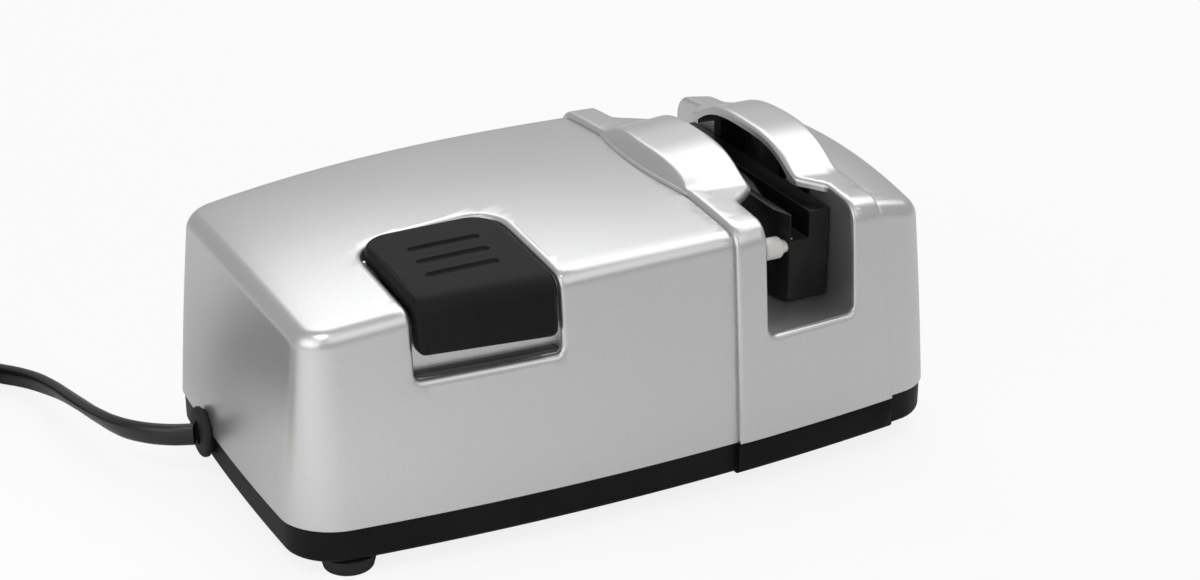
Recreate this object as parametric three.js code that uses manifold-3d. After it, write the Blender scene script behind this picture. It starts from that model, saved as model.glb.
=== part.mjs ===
// Electric knife sharpener with a press button, a slotted head and two conical grinding wheels.
// Millimetres, +Z up. X runs from the cord end to the grinding end, -Y is the front.
// The origin lies on the floor, under the middle of the body.
import * as THREE from 'three';
import { mergeVertices } from 'three/addons/utils/BufferGeometryUtils.js';
import Module from 'manifold-3d';

const wasm = await Module();
wasm.setup();

// Overall form of the silver body
const bodyLength = 159;
const bodyDepth = 93.6;
const shellTopZ = 61.9;
const shellFootZ = 11.9;
const leftCornerRadius = 11;
const rightCornerRadius = 9;
const sideBow = 5.5;
const bowCentreX = -7.5;
const endBulge = 1.4;
const wallLean = 3;
const wallBarrel = 0.8;
const topEdgeRadius = 3.5;
const topCrown = 2.7;
const topFall = 6.8;
const rightFall = 4.2;
const wall = 2;
const gap = 0.3;
const overrun = 20;
const leastRadius = 0.6;

// The ends and sides, from which the works and the openings take their places
const leftEndX = -bodyLength / 2;
const rightEndX = bodyLength / 2;
const frontSideY = -bodyDepth / 2;
const backSideY = bodyDepth / 2;

// Seams between the main shell, the head cover and the end cap
const leftSeamFromRight = 56.8;
const leftSeamX = rightEndX - leftSeamFromRight;
const rightSeamTopFromRight = 18.1;
const rightSeamTopX = rightEndX - rightSeamTopFromRight;
const rightSeamFootFromRight = 14;
const rightSeamFootX = rightEndX - rightSeamFootFromRight;
const headProud = 1.3;

// Humps, slot and notches of the head cover
const humpTopZ = 68.1;
const humpRise = 6.4;
const humpHalf = 22.5;
const humpBulge = 3;
const humpSlope = 1.2;
const notchLeftFromRight = 48.8;
const notchLeftX = rightEndX - notchLeftFromRight;
const notchRightFromRight = 25.6;
const notchRightX = rightEndX - notchRightFromRight;
const notchFloorZ = 35.3;
const notchCornerRadius = 2;
const slotLeftFromRight = 42.2;
const slotLeftX = rightEndX - slotLeftFromRight;
const slotRightFromRight = 31;
const slotRightX = rightEndX - slotRightFromRight;
const slotHalf = 24;
const notchStartY = 29.5;
const tubWall = 1.8;
const tubInnerY = 22;

// Base tray, feet and screws
const baseFootZ = 4;
const baseInset = 0.5;
const baseFloor = 2;
const baseWall = 2;
const baseBevel = 1.5;
const footRadius = 6.3;
const footTaper = 0.8;
const leftFootFromLeft = 13.6;
const leftFootX = leftEndX + leftFootFromLeft;
const leftFootFromSide = 9.9;
const leftFootY = backSideY - leftFootFromSide;
const rightFootFromRight = 21.5;
const rightFootX = rightEndX - rightFootFromRight;
const rightFootIn = 13.9;
const rightFootY = leftFootY - rightFootIn;
const footSpigotRadius = 2.2;
const screwHeadRadius = 3;
const screwHeadHeight = 1.8;
const screwShankRadius = 1.6;
const screwLength = 12;
const bossRadius = 3.8;
const leftBossFromLeft = 27.5;
const leftBossX = leftEndX + leftBossFromLeft;
const headBossFromRight = 29.5;
const headBossX = rightEndX - headBossFromRight;
const bossFromSide = 11.3;
const bossY = backSideY - bossFromSide;
const endBossFromRight = 9.5;
const endBossX = rightEndX - endBossFromRight;
const endBossIn = 10.5;
const endBossY = bossY - endBossIn;
const bossFootZ = 6.7;

// Press button and its recess
const buttonLeftFromLeft = 28.8;
const buttonLeftX = leftEndX + buttonLeftFromLeft;
const buttonRightFromLeft = 59.7;
const buttonRightX = leftEndX + buttonRightFromLeft;
const buttonBackFromFront = 38;
const buttonBackY = frontSideY + buttonBackFromFront;
const buttonCornerRadius = 6.5;
const buttonFootLeftZ = 47.3;
const buttonFootRightZ = 46.2;
const buttonProud = 0.9;
const buttonTilt = -0.055;
const buttonSkin = 2.2;
const buttonSideDepth = 3.2;
const buttonClearance = 0.8;
const recessFrontZ = 41.9;
const recessFloorZ = 52.5;
const recessDepth = 3.8;
const grooveLength = 16.8;
const grooveWidth = 1.1;
const grooveDepth = 0.6;
const grooveFirstFromFront = 28.5;
const grooveFirstY = frontSideY + grooveFirstFromFront;
const groovePitch = 6.05;
const grooveCount = 3;
const pinRadius = 1.25;
const pinFromFront = 33.8;
const pinY = frontSideY + pinFromFront;
const pinZ = 55.8;
const pinSeat = 1.4;
const lugWidth = 3;
const lugInset = 3;
const lugRadius = 2.6;
const runningGap = 0.1;

// Switch, plunger and return spring under the button
const switchFromLeft = 44.3;
const switchX = leftEndX + switchFromLeft;
const switchFromFront = 15.8;
const switchY = frontSideY + switchFromFront;
const switchLength = 20;
const switchWidth = 6.4;
const switchTopZ = 48;
const switchHeight = 10;
const plungerRadius = 1.6;
const plungerTopZ = 54.1;
const plungerLength = 10;
const plungerBore = 7.4;
const cheekThickness = 2;
const springFromFront = 24.8;
const springY = frontSideY + springFromFront;
const springRadius = 3;
const springWire = 0.35;
const springTurns = 5;

// Spindle line: motor, coupling, wheels
const spindleZ = 33.8;
const spindleRadius = 2.5;
const motorShaftRadius = 2;
const motorRadius = 15.5;
const motorLeftFromRight = 120;
const motorLeftX = rightEndX - motorLeftFromRight;
const motorRightFromRight = 70;
const motorRightX = rightEndX - motorRightFromRight;
const motorWall = 1.2;
const motorCapThickness = 3;
const rotorRadius = 11.6;
const rotorLength = 30;
const magnetThickness = 1.8;
const fanLeftFromRight = 67.5;
const fanLeftX = rightEndX - fanLeftFromRight;
const fanWidth = 5;
const fanRadius = 14;
const fanHubRadius = 4.5;
const fanBlades = 7;
const fanBladeThickness = 1;
const couplingLeftFromRight = 60.4;
const couplingLeftX = rightEndX - couplingLeftFromRight;
const couplingRightFromRight = 53.4;
const couplingRightX = rightEndX - couplingRightFromRight;
const couplingRadius = 5;
const shaftJoinFromRight = 56.4;
const shaftJoinX = rightEndX - shaftJoinFromRight;
const wheelRadius = 21;
const wheelNoseRadius = 15;
const wheelNoseDrop = 2.2;
const wheelThickness = 6.8;
const wheelNoseIn = 1;
const wheelHubRadius = 7;
const wheelHubDish = 1.2;
const spacerRadius = 4.2;
const clipRadius = 5;
const clipThickness = 1;
const bushRadius = 4.4;
const bushFlange = 5.4;
const postThickness = 2.6;
const leftPostFromRight = 51.6;
const leftPostX = rightEndX - leftPostFromRight;
const rightPostFromRight = 23.1;
const rightPostX = rightEndX - rightPostFromRight;
const postHalf = 9;
const bracketFoot = 2;
const bracketScrewFromRight = 36.6;
const bracketScrewX = rightEndX - bracketScrewFromRight;

// Knife guide and rests in the slot
const guideLeftFromRight = 37.6;
const guideLeftX = rightEndX - guideLeftFromRight;
const guideFrontY = 30.9;
const guideBevelFromRight = 36;
const guideBevelX = rightEndX - guideBevelFromRight;
const guideBevelY = 26.5;
const guideTopZ = 56.5;
const dividerThickness = 2;
const guideSlotZ = 50;
const restRadius = 3.2;
const restY = 29;
const restZ = 48.5;
const restShankRadius = 1.5;
const restShankLength = 3.6;
const restChamfer = 0.8;

// Cord, grommet, clamp and plug
const cordWidth = 5;
const cordThickness = 3.1;
const grommetY = 14.5;
const grommetZ = 10.7;
const grommetRadius = 5.8;
const grommetProud = 1.9;
const grommetNeckRadius = 4.6;
const grommetSleeve = 17;
const grommetTipRadius = 3.6;
const clampFromLeft = 24;
const clampX = leftEndX + clampFromLeft;
const clampLength = 7;
const clampHalf = 9;
const clampThickness = 2;
const clampScrewY = 6;
const coilX = -154.4;
const coilY = 78.9;
const coilOuterRadius = 36.8;
const coilPitch = 3.55;
const coilLayerRise = 5.45;
const coilInnerTurns = 4;
const coilClimb = 0.5;
const coilStartAngle = 36;
const coilLeaveAngle = 160;
const coilStepsPerTurn = 24;
const plugWidth = 35;
const plugHeight = 13.6;
const plugLength = 34;
const plugPinRadius = 2;
const plugPinLength = 19;
const plugPinSpacing = 18.6;
const plugX = -180.9;
const plugY = 29.7;
const plugHeading = coilStartAngle + 90 + coilLeaveAngle;
const plugShoulderShare = 0.55;
const plugWaistShare = 0.12;
const plugWaistWidthShare = 0.55;
const plugTailWidthShare = 0.33;

// Steps of round and curved shapes
const cornerSteps = 5;
const longSteps = 9;
const endSteps = 4;
const edgeSteps = 4;
const roundSides = 24;
const smallSides = 12;
const wallShares = [0, 0.4, 0.75, 1];
const topShares = [0.75, 0.4];
const fallPower = 2.6;
const rightFallPower = 4;
const rightCrownGain = 1.8;
const humpPower = 3.2;

const mergeTolerance = 1e-4;

// Turns a closed three.js geometry into a solid, with its faces pointing outwards
function solidOf(geometry) {
  const bare = geometry.clone();
  bare.deleteAttribute('normal');
  bare.deleteAttribute('uv');
  const merged = mergeVertices(bare, mergeTolerance);
  const vertProperties = new Float32Array(merged.attributes.position.array);
  const triVerts = new Uint32Array(merged.index.array);
  const solid = new wasm.Manifold(new wasm.Mesh({ numProp: 3, vertProperties, triVerts }));
  if (solid.volume() > 0) return solid;
  for (let i = 0; i < triVerts.length; i += 3) {
    [triVerts[i], triVerts[i + 1]] = [triVerts[i + 1], triVerts[i]];
  }
  return new wasm.Manifold(new wasm.Mesh({ numProp: 3, vertProperties, triVerts }));
}

function geometryOf(solid) {
  const mesh = solid.getMesh();
  const geometry = new THREE.BufferGeometry();
  const positions = new Float32Array(mesh.numVert * 3);
  for (let i = 0; i < mesh.numVert; i += 1) {
    for (let k = 0; k < 3; k += 1) positions[3 * i + k] = mesh.vertProperties[mesh.numProp * i + k];
  }
  geometry.setAttribute('position', new THREE.BufferAttribute(positions, 3));
  geometry.setIndex(new THREE.BufferAttribute(new Uint32Array(mesh.triVerts), 1));
  geometry.computeVertexNormals();
  return geometry;
}

function join(first, ...others) {
  return others.reduce((solid, other) => solid.add(other), first);
}

function cut(first, ...others) {
  return others.reduce((solid, other) => solid.subtract(other), first);
}

function box(x0, x1, y0, y1, z0, z1) {
  const geometry = new THREE.BoxGeometry(x1 - x0, y1 - y0, z1 - z0);
  geometry.translate((x0 + x1) / 2, (y0 + y1) / 2, (z0 + z1) / 2);
  return solidOf(geometry);
}

// A round bar along X or Z; the two places are those of its other two axes
function barX(radius, x0, x1, y, z, sides = roundSides) {
  const geometry = new THREE.CylinderGeometry(radius, radius, x1 - x0, sides);
  geometry.rotateZ(-Math.PI / 2);
  geometry.translate((x0 + x1) / 2, y, z);
  return solidOf(geometry);
}

function barZ(radius, z0, z1, x, y, sides = roundSides, footRadiusAt = radius) {
  const geometry = new THREE.CylinderGeometry(radius, footRadiusAt, z1 - z0, sides);
  geometry.rotateX(Math.PI / 2);
  geometry.translate(x, y, (z0 + z1) / 2);
  return solidOf(geometry);
}

// A profile of [x, radius] pairs turned about a line along X
function turnedX(profile, y, z, sides = roundSides) {
  const points = profile.map(([x, radius]) => new THREE.Vector2(radius, x));
  const geometry = new THREE.LatheGeometry(points, sides);
  geometry.rotateZ(-Math.PI / 2);
  geometry.translate(0, y, z);
  return solidOf(geometry);
}

// Outlines pushed along Z, Y or X
function extruded(points, depth) {
  const shape = new THREE.Shape(points.map(([a, b]) => new THREE.Vector2(a, b)));
  return new THREE.ExtrudeGeometry(shape, { depth, bevelEnabled: false, steps: 1 });
}

function prismZ(points, z0, z1) {
  const geometry = extruded(points, z1 - z0);
  geometry.translate(0, 0, z0);
  return solidOf(geometry);
}

function prismY(points, y0, y1) {
  const geometry = extruded(points, y1 - y0);
  geometry.rotateX(Math.PI / 2);
  geometry.translate(0, y1, 0);
  return solidOf(geometry);
}

function arcPoints(cx, cy, radius, from, to, steps) {
  const points = [];
  for (let i = 0; i <= steps; i += 1) {
    const angle = from + ((to - from) * i) / steps;
    points.push([cx + radius * Math.cos(angle), cy + radius * Math.sin(angle)]);
  }
  return points;
}

// A solid through rings of equal count, each ring a list of [x, y, z]; the ends close to a middle point
function ringSolid(rings, topPoint) {
  const count = rings[0].length;
  const middle = (ring) => [0, 1, 2].map((k) => ring.reduce((sum, p) => sum + p[k], 0) / count);
  const vertices = [...rings.flat(), middle(rings[0]), topPoint ?? middle(rings.at(-1))];
  const footIndex = rings.length * count;
  const index = [];
  for (let i = 0; i < count; i += 1) {
    const next = (i + 1) % count;
    index.push(footIndex, next, i);
    for (let r = 0; r + 1 < rings.length; r += 1) {
      const a = r * count;
      const b = a + count;
      index.push(a + i, a + next, b + next, a + i, b + next, b + i);
    }
    const last = (rings.length - 1) * count;
    index.push(last + i, last + next, footIndex + 1);
  }
  const geometry = new THREE.BufferGeometry();
  geometry.setAttribute('position', new THREE.Float32BufferAttribute(vertices.flat(), 3));
  geometry.setIndex(index);
  return solidOf(geometry);
}

// The body's plan: a rounded rectangle whose long sides bow out in the middle and whose ends bulge
function planOutline(inset) {
  const halfLength = bodyLength / 2 - inset;
  const halfDepth = bodyDepth / 2 - inset;
  const right = Math.max(rightCornerRadius - inset, leastRadius);
  const left = Math.max(leftCornerRadius - inset, leastRadius);
  const corners = [[1, 1, right], [-1, 1, left], [-1, -1, left], [1, -1, right]];
  const arcs = corners.map(([sx, sy, radius], quarter) => arcPoints(
    sx * (halfLength - radius), sy * (halfDepth - radius), radius,
    (quarter * Math.PI) / 2, ((quarter + 1) * Math.PI) / 2, cornerSteps,
  ));
  const points = [];
  arcs.forEach((arc, quarter) => {
    points.push(...arc);
    const start = arc.at(-1);
    const end = arcs[(quarter + 1) % arcs.length][0];
    const steps = quarter % 2 === 0 ? longSteps : endSteps;
    for (let i = 1; i < steps; i += 1) {
      points.push([0, 1].map((k) => start[k] + ((end[k] - start[k]) * i) / steps));
    }
  });
  return points.map(([x, y]) => {
    const along = x / (bodyLength / 2);
    const bowed = (x - bowCentreX) / (bodyLength / 2);
    const across = y / (bodyDepth / 2);
    return [x - endBulge * along * across * across, y - sideBow * across * bowed * bowed];
  });
}

// Height of the crowned top, which falls away from the left seam to both ends
function topHeight(x, y) {
  const left = Math.max(leftSeamX - x, 0) / (bodyLength / 2 + leftSeamX);
  const right = (Math.max(x - leftSeamX, 0) / (bodyLength / 2 - leftSeamX)) ** rightFallPower;
  const across = y / (bodyDepth / 2);
  const crown = topCrown * (1 + rightCrownGain * right);
  return shellTopZ - topFall * left ** fallPower - rightFall * right - crown * across * across;
}

function leanAt(share) {
  return wallLean * share + wallBarrel * share * share;
}

// The body grown by proud, or shrunk when proud is negative, from footZ up; a tilt is that of the button
function bodySolid(proud, footZ = shellFootZ, tilt = 0) {
  const radius = Math.max(topEdgeRadius + proud, leastRadius);
  const topAt = (x, y) => topHeight(x, y) + proud + tilt * (x - (buttonLeftX + buttonRightX) / 2);
  const wallRing = (share) => planOutline(leanAt(share) - proud).map(([x, y]) => {
    const edgeZ = topAt(x, y) - radius;
    return [x, y, shellFootZ + share * (edgeZ - shellFootZ)];
  });
  const rings = wallShares.map(wallRing);
  if (footZ < shellFootZ) rings.unshift(rings[0].map(([x, y]) => [x, y, footZ]));
  for (let i = 1; i <= edgeSteps; i += 1) {
    const turn = ((i / edgeSteps) * Math.PI) / 2;
    const inset = leanAt(1) - proud + radius * (1 - Math.cos(turn));
    rings.push(planOutline(inset).map(([x, y]) => [x, y, topAt(x, y) - radius * (1 - Math.sin(turn))]));
  }
  const rim = rings.at(-1);
  topShares.forEach((share) => rings.push(rim.map(([x, y]) => (
    [x * share, y * share, topAt(x * share, y * share)]
  ))));
  return ringSolid(rings, [0, 0, topAt(0, 0)]);
}

const far = bodyLength;
const tall = shellTopZ + humpRise + overrun;

// Slabs of space on either side of the seams
function rightSeamSlab(offset, towards) {
  const slope = (rightSeamTopX - rightSeamFootX) / (shellTopZ - baseFootZ);
  const at = (z) => rightSeamFootX + offset + slope * (z - baseFootZ);
  const outer = towards * far;
  return prismY([[at(-overrun), -overrun], [outer, -overrun], [outer, tall], [at(tall), tall]], -far, far);
}
const leftOfLeftSeam = (offset) => box(-far, leftSeamX + offset, -far, far, -overrun, tall);
const rightOfLeftSeam = (offset) => box(leftSeamX + offset, far, -far, far, -overrun, tall);
const leftOfRightSeam = (offset) => rightSeamSlab(offset, -1);
const rightOfRightSeam = (offset) => rightSeamSlab(offset, 1);

const bodyOuter = bodySolid(0);
const bodyInner = bodySolid(-wall, -overrun);
const bodySkin = bodySolid(gap, -overrun);
const headOuter = bodySolid(headProud);
const headInner = bodySolid(headProud - wall, -overrun);

// Screw bosses hang from the shells to just above the base floor
function screwBoss(x, y) {
  return barZ(bossRadius, bossFootZ, tall, x, y, smallSides);
}
function screwHole(x, y) {
  return barZ(screwShankRadius + gap, -overrun, bossFootZ + screwLength, x, y, smallSides);
}

// Knife slot, seen from above: narrow between the humps and splayed out to the notches
function slotPlan() {
  const quarter = [
    [notchRightX, far], [notchRightX, notchStartY], [slotRightX, slotHalf],
  ];
  const left = [[notchLeftX, far], [notchLeftX, notchStartY], [slotLeftX, slotHalf]];
  const flip = (points) => points.map(([x, y]) => [x, -y]).reverse();
  return [...quarter, ...flip(quarter), ...left.map(([x, y]) => [x, -y]), ...left.reverse()];
}
function notchProfile() {
  const r = notchCornerRadius;
  return [
    [notchRightX, tall], [notchLeftX, tall],
    ...arcPoints(notchLeftX + r, notchFloorZ + r, r, Math.PI, (3 * Math.PI) / 2, edgeSteps),
    ...arcPoints(notchRightX - r, notchFloorZ + r, r, (3 * Math.PI) / 2, 2 * Math.PI, edgeSteps),
  ];
}

// The two humps are one arch over the head, bulged at both sides, that the slot divides
function humpSolid(shrink) {
  const half = humpHalf - shrink;
  const alongSteps = 5;
  const acrossSteps = 16;
  const columns = [];
  for (let i = 0; i <= alongSteps; i += 1) {
    for (let j = 0; j <= acrossSteps; j += 1) {
      const across = (2 * j) / acrossSteps - 1;
      const bulge = humpBulge * (1 - across * across);
      const leftX = leftSeamX + gap - bulge + shrink;
      const rightX = rightSeamTopX - gap + bulge - shrink;
      const x = leftX + ((rightX - leftX) * i) / alongSteps;
      const slope = humpSlope * Math.max((slotLeftX - x) / (slotLeftX - leftSeamX), 0);
      const rise = humpRise * (1 - Math.abs(across) ** humpPower);
      columns.push([x, across * half, humpTopZ - humpRise + rise - slope - shrink]);
    }
  }
  const underZ = notchFloorZ + wall;
  const stride = acrossSteps + 1;
  const lower = columns.length;
  const vertices = [...columns, ...columns.map(([x, y]) => [x, y, underZ])];
  const index = [];
  const quad = (a, b, c, d) => index.push(a, b, c, a, c, d);
  for (let i = 0; i < alongSteps; i += 1) {
    for (let j = 0; j < acrossSteps; j += 1) {
      const a = i * stride + j;
      quad(a, a + stride, a + stride + 1, a + 1);
      quad(lower + a, lower + a + 1, lower + a + stride + 1, lower + a + stride);
    }
    const front = i * stride;
    const back = front + acrossSteps;
    quad(lower + front, lower + front + stride, front + stride, front);
    quad(back, back + stride, lower + back + stride, lower + back);
  }
  for (let j = 0; j < acrossSteps; j += 1) {
    const right = alongSteps * stride + j;
    quad(j, j + 1, lower + j + 1, lower + j);
    quad(right + 1, right, lower + right, lower + right + 1);
  }
  const geometry = new THREE.BufferGeometry();
  geometry.setAttribute('position', new THREE.Float32BufferAttribute(vertices.flat(), 3));
  geometry.setIndex(index);
  return solidOf(geometry);
}

// Button outline in plan, with its two round back corners
function buttonPlan(grow) {
  const left = buttonLeftX - grow;
  const right = buttonRightX + grow;
  const back = buttonBackY + grow;
  const r = buttonCornerRadius + grow;
  return [
    [left, -far], [right, -far],
    ...arcPoints(right - r, back - r, r, 0, Math.PI / 2, edgeSteps),
    ...arcPoints(left + r, back - r, r, Math.PI / 2, Math.PI, edgeSteps),
  ];
}
const recessPlan = (grow) => buttonPlan(buttonClearance + grow);

// Space of the recess: deep on top for the lever, shallow behind the front skirt
function recessSpace(grow) {
  const top = prismZ(recessPlan(grow), recessFloorZ - grow, tall);
  const front = prismZ(recessPlan(grow), recessFrontZ - grow, tall);
  return join(top, front.subtract(bodySolid(-recessDepth - grow, -overrun)));
}

const plungerHoleRadius = plungerRadius + 2 * gap;
const grommetHole = barX(grommetNeckRadius + gap, -bodyLength, -bodyLength / 2 + overrun, grommetY, grommetZ);
const leftBosses = [[leftBossX, bossY], [leftBossX, -bossY]];
const headBosses = [[headBossX, bossY], [headBossX, -bossY]];
const endBosses = [[endBossX, endBossY], [endBossX, -endBossY]];

function mainShell() {
  const switchCheeks = [-1, 1].map((side) => {
    const inner = switchX + side * (switchLength / 2 + gap);
    const outer = inner + side * cheekThickness;
    return box(
      Math.min(inner, outer), Math.max(inner, outer),
      switchY - switchWidth / 2, switchY + switchWidth / 2,
      switchTopZ - switchHeight, recessFloorZ - wall / 2,
    );
  });
  const bosses = leftBosses.map(([x, y]) => screwBoss(x, y));
  const pocket = recessSpace(wall);
  const hollow = bodyInner.subtract(join(pocket, ...bosses, ...switchCheeks));
  const pinHole = barX(pinRadius + runningGap, buttonLeftX - buttonClearance - pinSeat - gap,
    buttonRightX + buttonClearance + pinSeat + gap, pinY, pinZ, smallSides);
  return cut(
    bodyOuter, hollow, recessSpace(0), pinHole, grommetHole,
    barZ(plungerHoleRadius, switchTopZ, tall, switchX, switchY, smallSides),
    ...leftBosses.map(([x, y]) => screwHole(x, y)),
    rightOfLeftSeam(-gap / 2),
  );
}

function headCover() {
  const front = notchStartY;
  const tubBox = (sy, grow) => {
    const inner = sy * (tubInnerY - (grow > 0 ? 0 : overrun));
    const outer = sy * far;
    return box(
      notchLeftX - grow, notchRightX + grow, Math.min(inner, outer), Math.max(inner, outer),
      notchFloorZ - grow, tall,
    );
  };
  const within = (solid) => solid.intersect(leftOfRightSeam(-gap / 2)).intersect(rightOfLeftSeam(gap / 2));
  const bosses = headBosses.map(([x, y]) => screwBoss(x, y));
  const hollow = join(headInner, humpSolid(wall)).subtract(join(...bosses));
  const tubs = join(tubBox(-1, tubWall), tubBox(1, tubWall)).intersect(headOuter);
  const tubSpace = join(tubBox(-1, 0), tubBox(1, 0)).intersect(join(headInner, humpSolid(wall)));
  const slot = prismZ(slotPlan(), notchFloorZ, tall).intersect(prismY(notchProfile(), -far, far));
  const throughSlot = slot.add(prismZ([
    [slotLeftX, -front], [slotRightX, -front], [slotRightX, front], [slotLeftX, front],
  ], notchFloorZ, tall));
  const band = within(join(headOuter.subtract(hollow), tubs));
  const sides = join(leftOfLeftSeam(gap / 2), rightOfRightSeam(-gap / 2));
  const hump = cut(humpSolid(0), hollow, bodySkin.intersect(sides));
  const screws = headBosses.map(([x, y]) => screwHole(x, y));
  const guideScrews = [-1, 1].map((sy) => barZ(screwShankRadius + gap, notchFloorZ - 2 * tubWall,
    notchFloorZ + tubWall, (guideLeftX + notchRightX) / 2, sy * guideScrewY, smallSides));
  return cut(join(band, hump), tubSpace, throughSlot, ...screws, ...guideScrews);
}

function endCap() {
  const hollow = bodyInner.subtract(join(...endBosses.map(([x, y]) => screwBoss(x, y))));
  const shell = cut(bodyOuter, hollow, ...endBosses.map(([x, y]) => screwHole(x, y)));
  return shell.intersect(rightOfRightSeam(gap / 2));
}

const guideScrewY = (guideFrontY + tubInnerY) / 2;

// Base tray: floor and rim under all three shells, a little wider under the head
function baseBody(inset, footZ, topZ, bevel) {
  const rings = [[inset + bevel, footZ], [inset, footZ + bevel], [inset, topZ]].map(([ringInset, z]) => (
    planOutline(ringInset).map(([x, y]) => [x, y, z])
  ));
  return ringSolid(rings);
}

function basePlate() {
  const rimZ = shellFootZ - gap;
  const underHead = (solid) => solid.intersect(rightOfLeftSeam(0)).intersect(leftOfRightSeam(0));
  const outer = join(
    baseBody(baseInset, baseFootZ, rimZ, baseBevel),
    underHead(baseBody(baseInset - headProud, baseFootZ, rimZ, baseBevel)),
  );
  const floorZ = baseFootZ + baseFloor;
  const tray = outer.subtract(baseBody(baseInset + baseWall, floorZ, shellFootZ + overrun, baseBevel / 2));
  const saddles = [motorLeftX + motorCapThickness, motorRightX - 2 * motorCapThickness].map((x) => (
    box(x, x + motorCapThickness, -motorRadius, motorRadius, floorZ - gap, spindleZ - motorRadius / 2)
  ));
  const strapPosts = [-1, 1].map((sy) => {
    const inner = sy * (motorRadius + 2 * gap);
    const outer2 = sy * (motorRadius + strapFoot);
    return box(strapX - strapWidth / 2, strapX + strapWidth / 2, Math.min(inner, outer2), Math.max(inner, outer2),
      floorZ - gap, spindleZ - gap - strapThickness);
  });
  const footHoles = feetPlaces.map(([x, y]) => barZ(footSpigotRadius + gap, -overrun, floorZ + gap, x, y, smallSides));
  const screwSeats = [...leftBosses, ...headBosses, ...endBosses].flatMap(([x, y]) => [
    barZ(screwShankRadius + gap, -overrun, shellFootZ, x, y, smallSides),
    barZ(screwHeadRadius + gap, -overrun, baseFootZ + screwHeadHeight / 2, x, y, smallSides),
  ]);
  const clampPad = box(clampX, clampX + clampLength, grommetY - clampHalf, grommetY + clampHalf,
    floorZ - gap, grommetZ - cordWidth / 2 - gap);
  const clampScrews = [-1, 1].map((sy) => barZ(screwShankRadius + gap, floorZ, tall,
    clampX + clampLength / 2, grommetY + sy * clampScrewY, smallSides));
  const bracketScrews = [-1, 1].map((sy) => barZ(screwShankRadius + gap, -overrun, tall,
    bracketScrewX, sy * postHalf / 2, smallSides));
  const strapScrews = [-1, 1].map((sy) => barZ(screwShankRadius + gap, spindleZ - screwLength, tall,
    strapX, sy * (motorRadius + strapFoot / 2), smallSides));
  const solid = join(tray, ...saddles, ...strapPosts, clampPad);
  return cut(
    solid, barX(motorRadius + gap, motorLeftX - overrun, motorRightX + overrun, 0, spindleZ),
    grommetHole, ...footHoles, ...screwSeats, ...clampScrews, ...bracketScrews, ...strapScrews,
  );
}

const strapFromRight = 79.5;
const strapX = rightEndX - strapFromRight;
const strapWidth = 8;
const strapThickness = 1.4;
const strapFoot = 8;
const feetPlaces = [
  [leftFootX, -leftFootY], [leftFootX, leftFootY], [rightFootX, -rightFootY], [rightFootX, rightFootY],
];

function foot([x, y]) {
  const pad = barZ(footRadius, 0, baseFootZ - gap, x, y, roundSides, footRadius - footTaper);
  return join(pad, barZ(footSpigotRadius, gap, baseFootZ + baseFloor, x, y, smallSides));
}

// A screw driven up along +Z, or down along -Z, with its head at headZ
function screw(x, y, headZ, direction, length = screwLength) {
  const headEnd = headZ + direction * screwHeadHeight;
  const tip = headZ + direction * (screwHeadHeight + length);
  const head = barZ(screwHeadRadius, Math.min(headZ, headEnd), Math.max(headZ, headEnd), x, y, smallSides);
  const middle = (headZ + headEnd) / 2;
  const shank = barZ(screwShankRadius, Math.min(middle, tip), Math.max(middle, tip), x, y, smallSides);
  return join(head, shank);
}

function pressButton() {
  const tilted = (proud, footZ) => bodySolid(proud, footZ, buttonTilt);
  const aboveFoot = prismY([
    [buttonLeftX, buttonFootLeftZ], [buttonRightX, buttonFootRightZ], [buttonRightX, tall], [buttonLeftX, tall],
  ], -far, 0);
  const outer = tilted(buttonProud).intersect(prismZ(buttonPlan(0), 0, tall)).intersect(aboveFoot);
  const skinBelow = tilted(buttonProud - buttonSkin, -overrun);
  const sideBelow = tilted(buttonProud - buttonSideDepth, -overrun);
  const innerPlan = prismZ(buttonPlan(-buttonSkin), -overrun, tall);
  const grooves = Array.from({ length: grooveCount }, (_, i) => {
    const y = grooveFirstY - i * groovePitch;
    const x = (buttonLeftX + buttonRightX) / 2 + grooveWidth / 2;
    const bar = prismZ([
      ...arcPoints(x + grooveLength / 2, y, grooveWidth / 2, -Math.PI / 2, Math.PI / 2, edgeSteps),
      ...arcPoints(x - grooveLength / 2, y, grooveWidth / 2, Math.PI / 2, (3 * Math.PI) / 2, edgeSteps),
    ], recessFloorZ, tall);
    return bar.subtract(tilted(buttonProud - grooveDepth, -overrun));
  });
  const lugs = [buttonLeftX + lugInset, buttonRightX - lugInset - lugWidth].map((x) => (
    join(
      barX(lugRadius, x, x + lugWidth, pinY, pinZ, smallSides),
      box(x, x + lugWidth, pinY - lugRadius, pinY + lugRadius, pinZ, shellTopZ),
    )
  ));
  const pusher = barZ(plungerRadius, plungerTopZ + gap, shellTopZ, switchX, switchY, smallSides);
  const ribs = join(...lugs, pusher).intersect(tilted(0, -overrun));
  const pinHole = barX(pinRadius + runningGap, -far, far, pinY, pinZ, smallSides);
  return cut(join(cut(outer, sideBelow, skinBelow.intersect(innerPlan)), ribs), pinHole, ...grooves);
}

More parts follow.
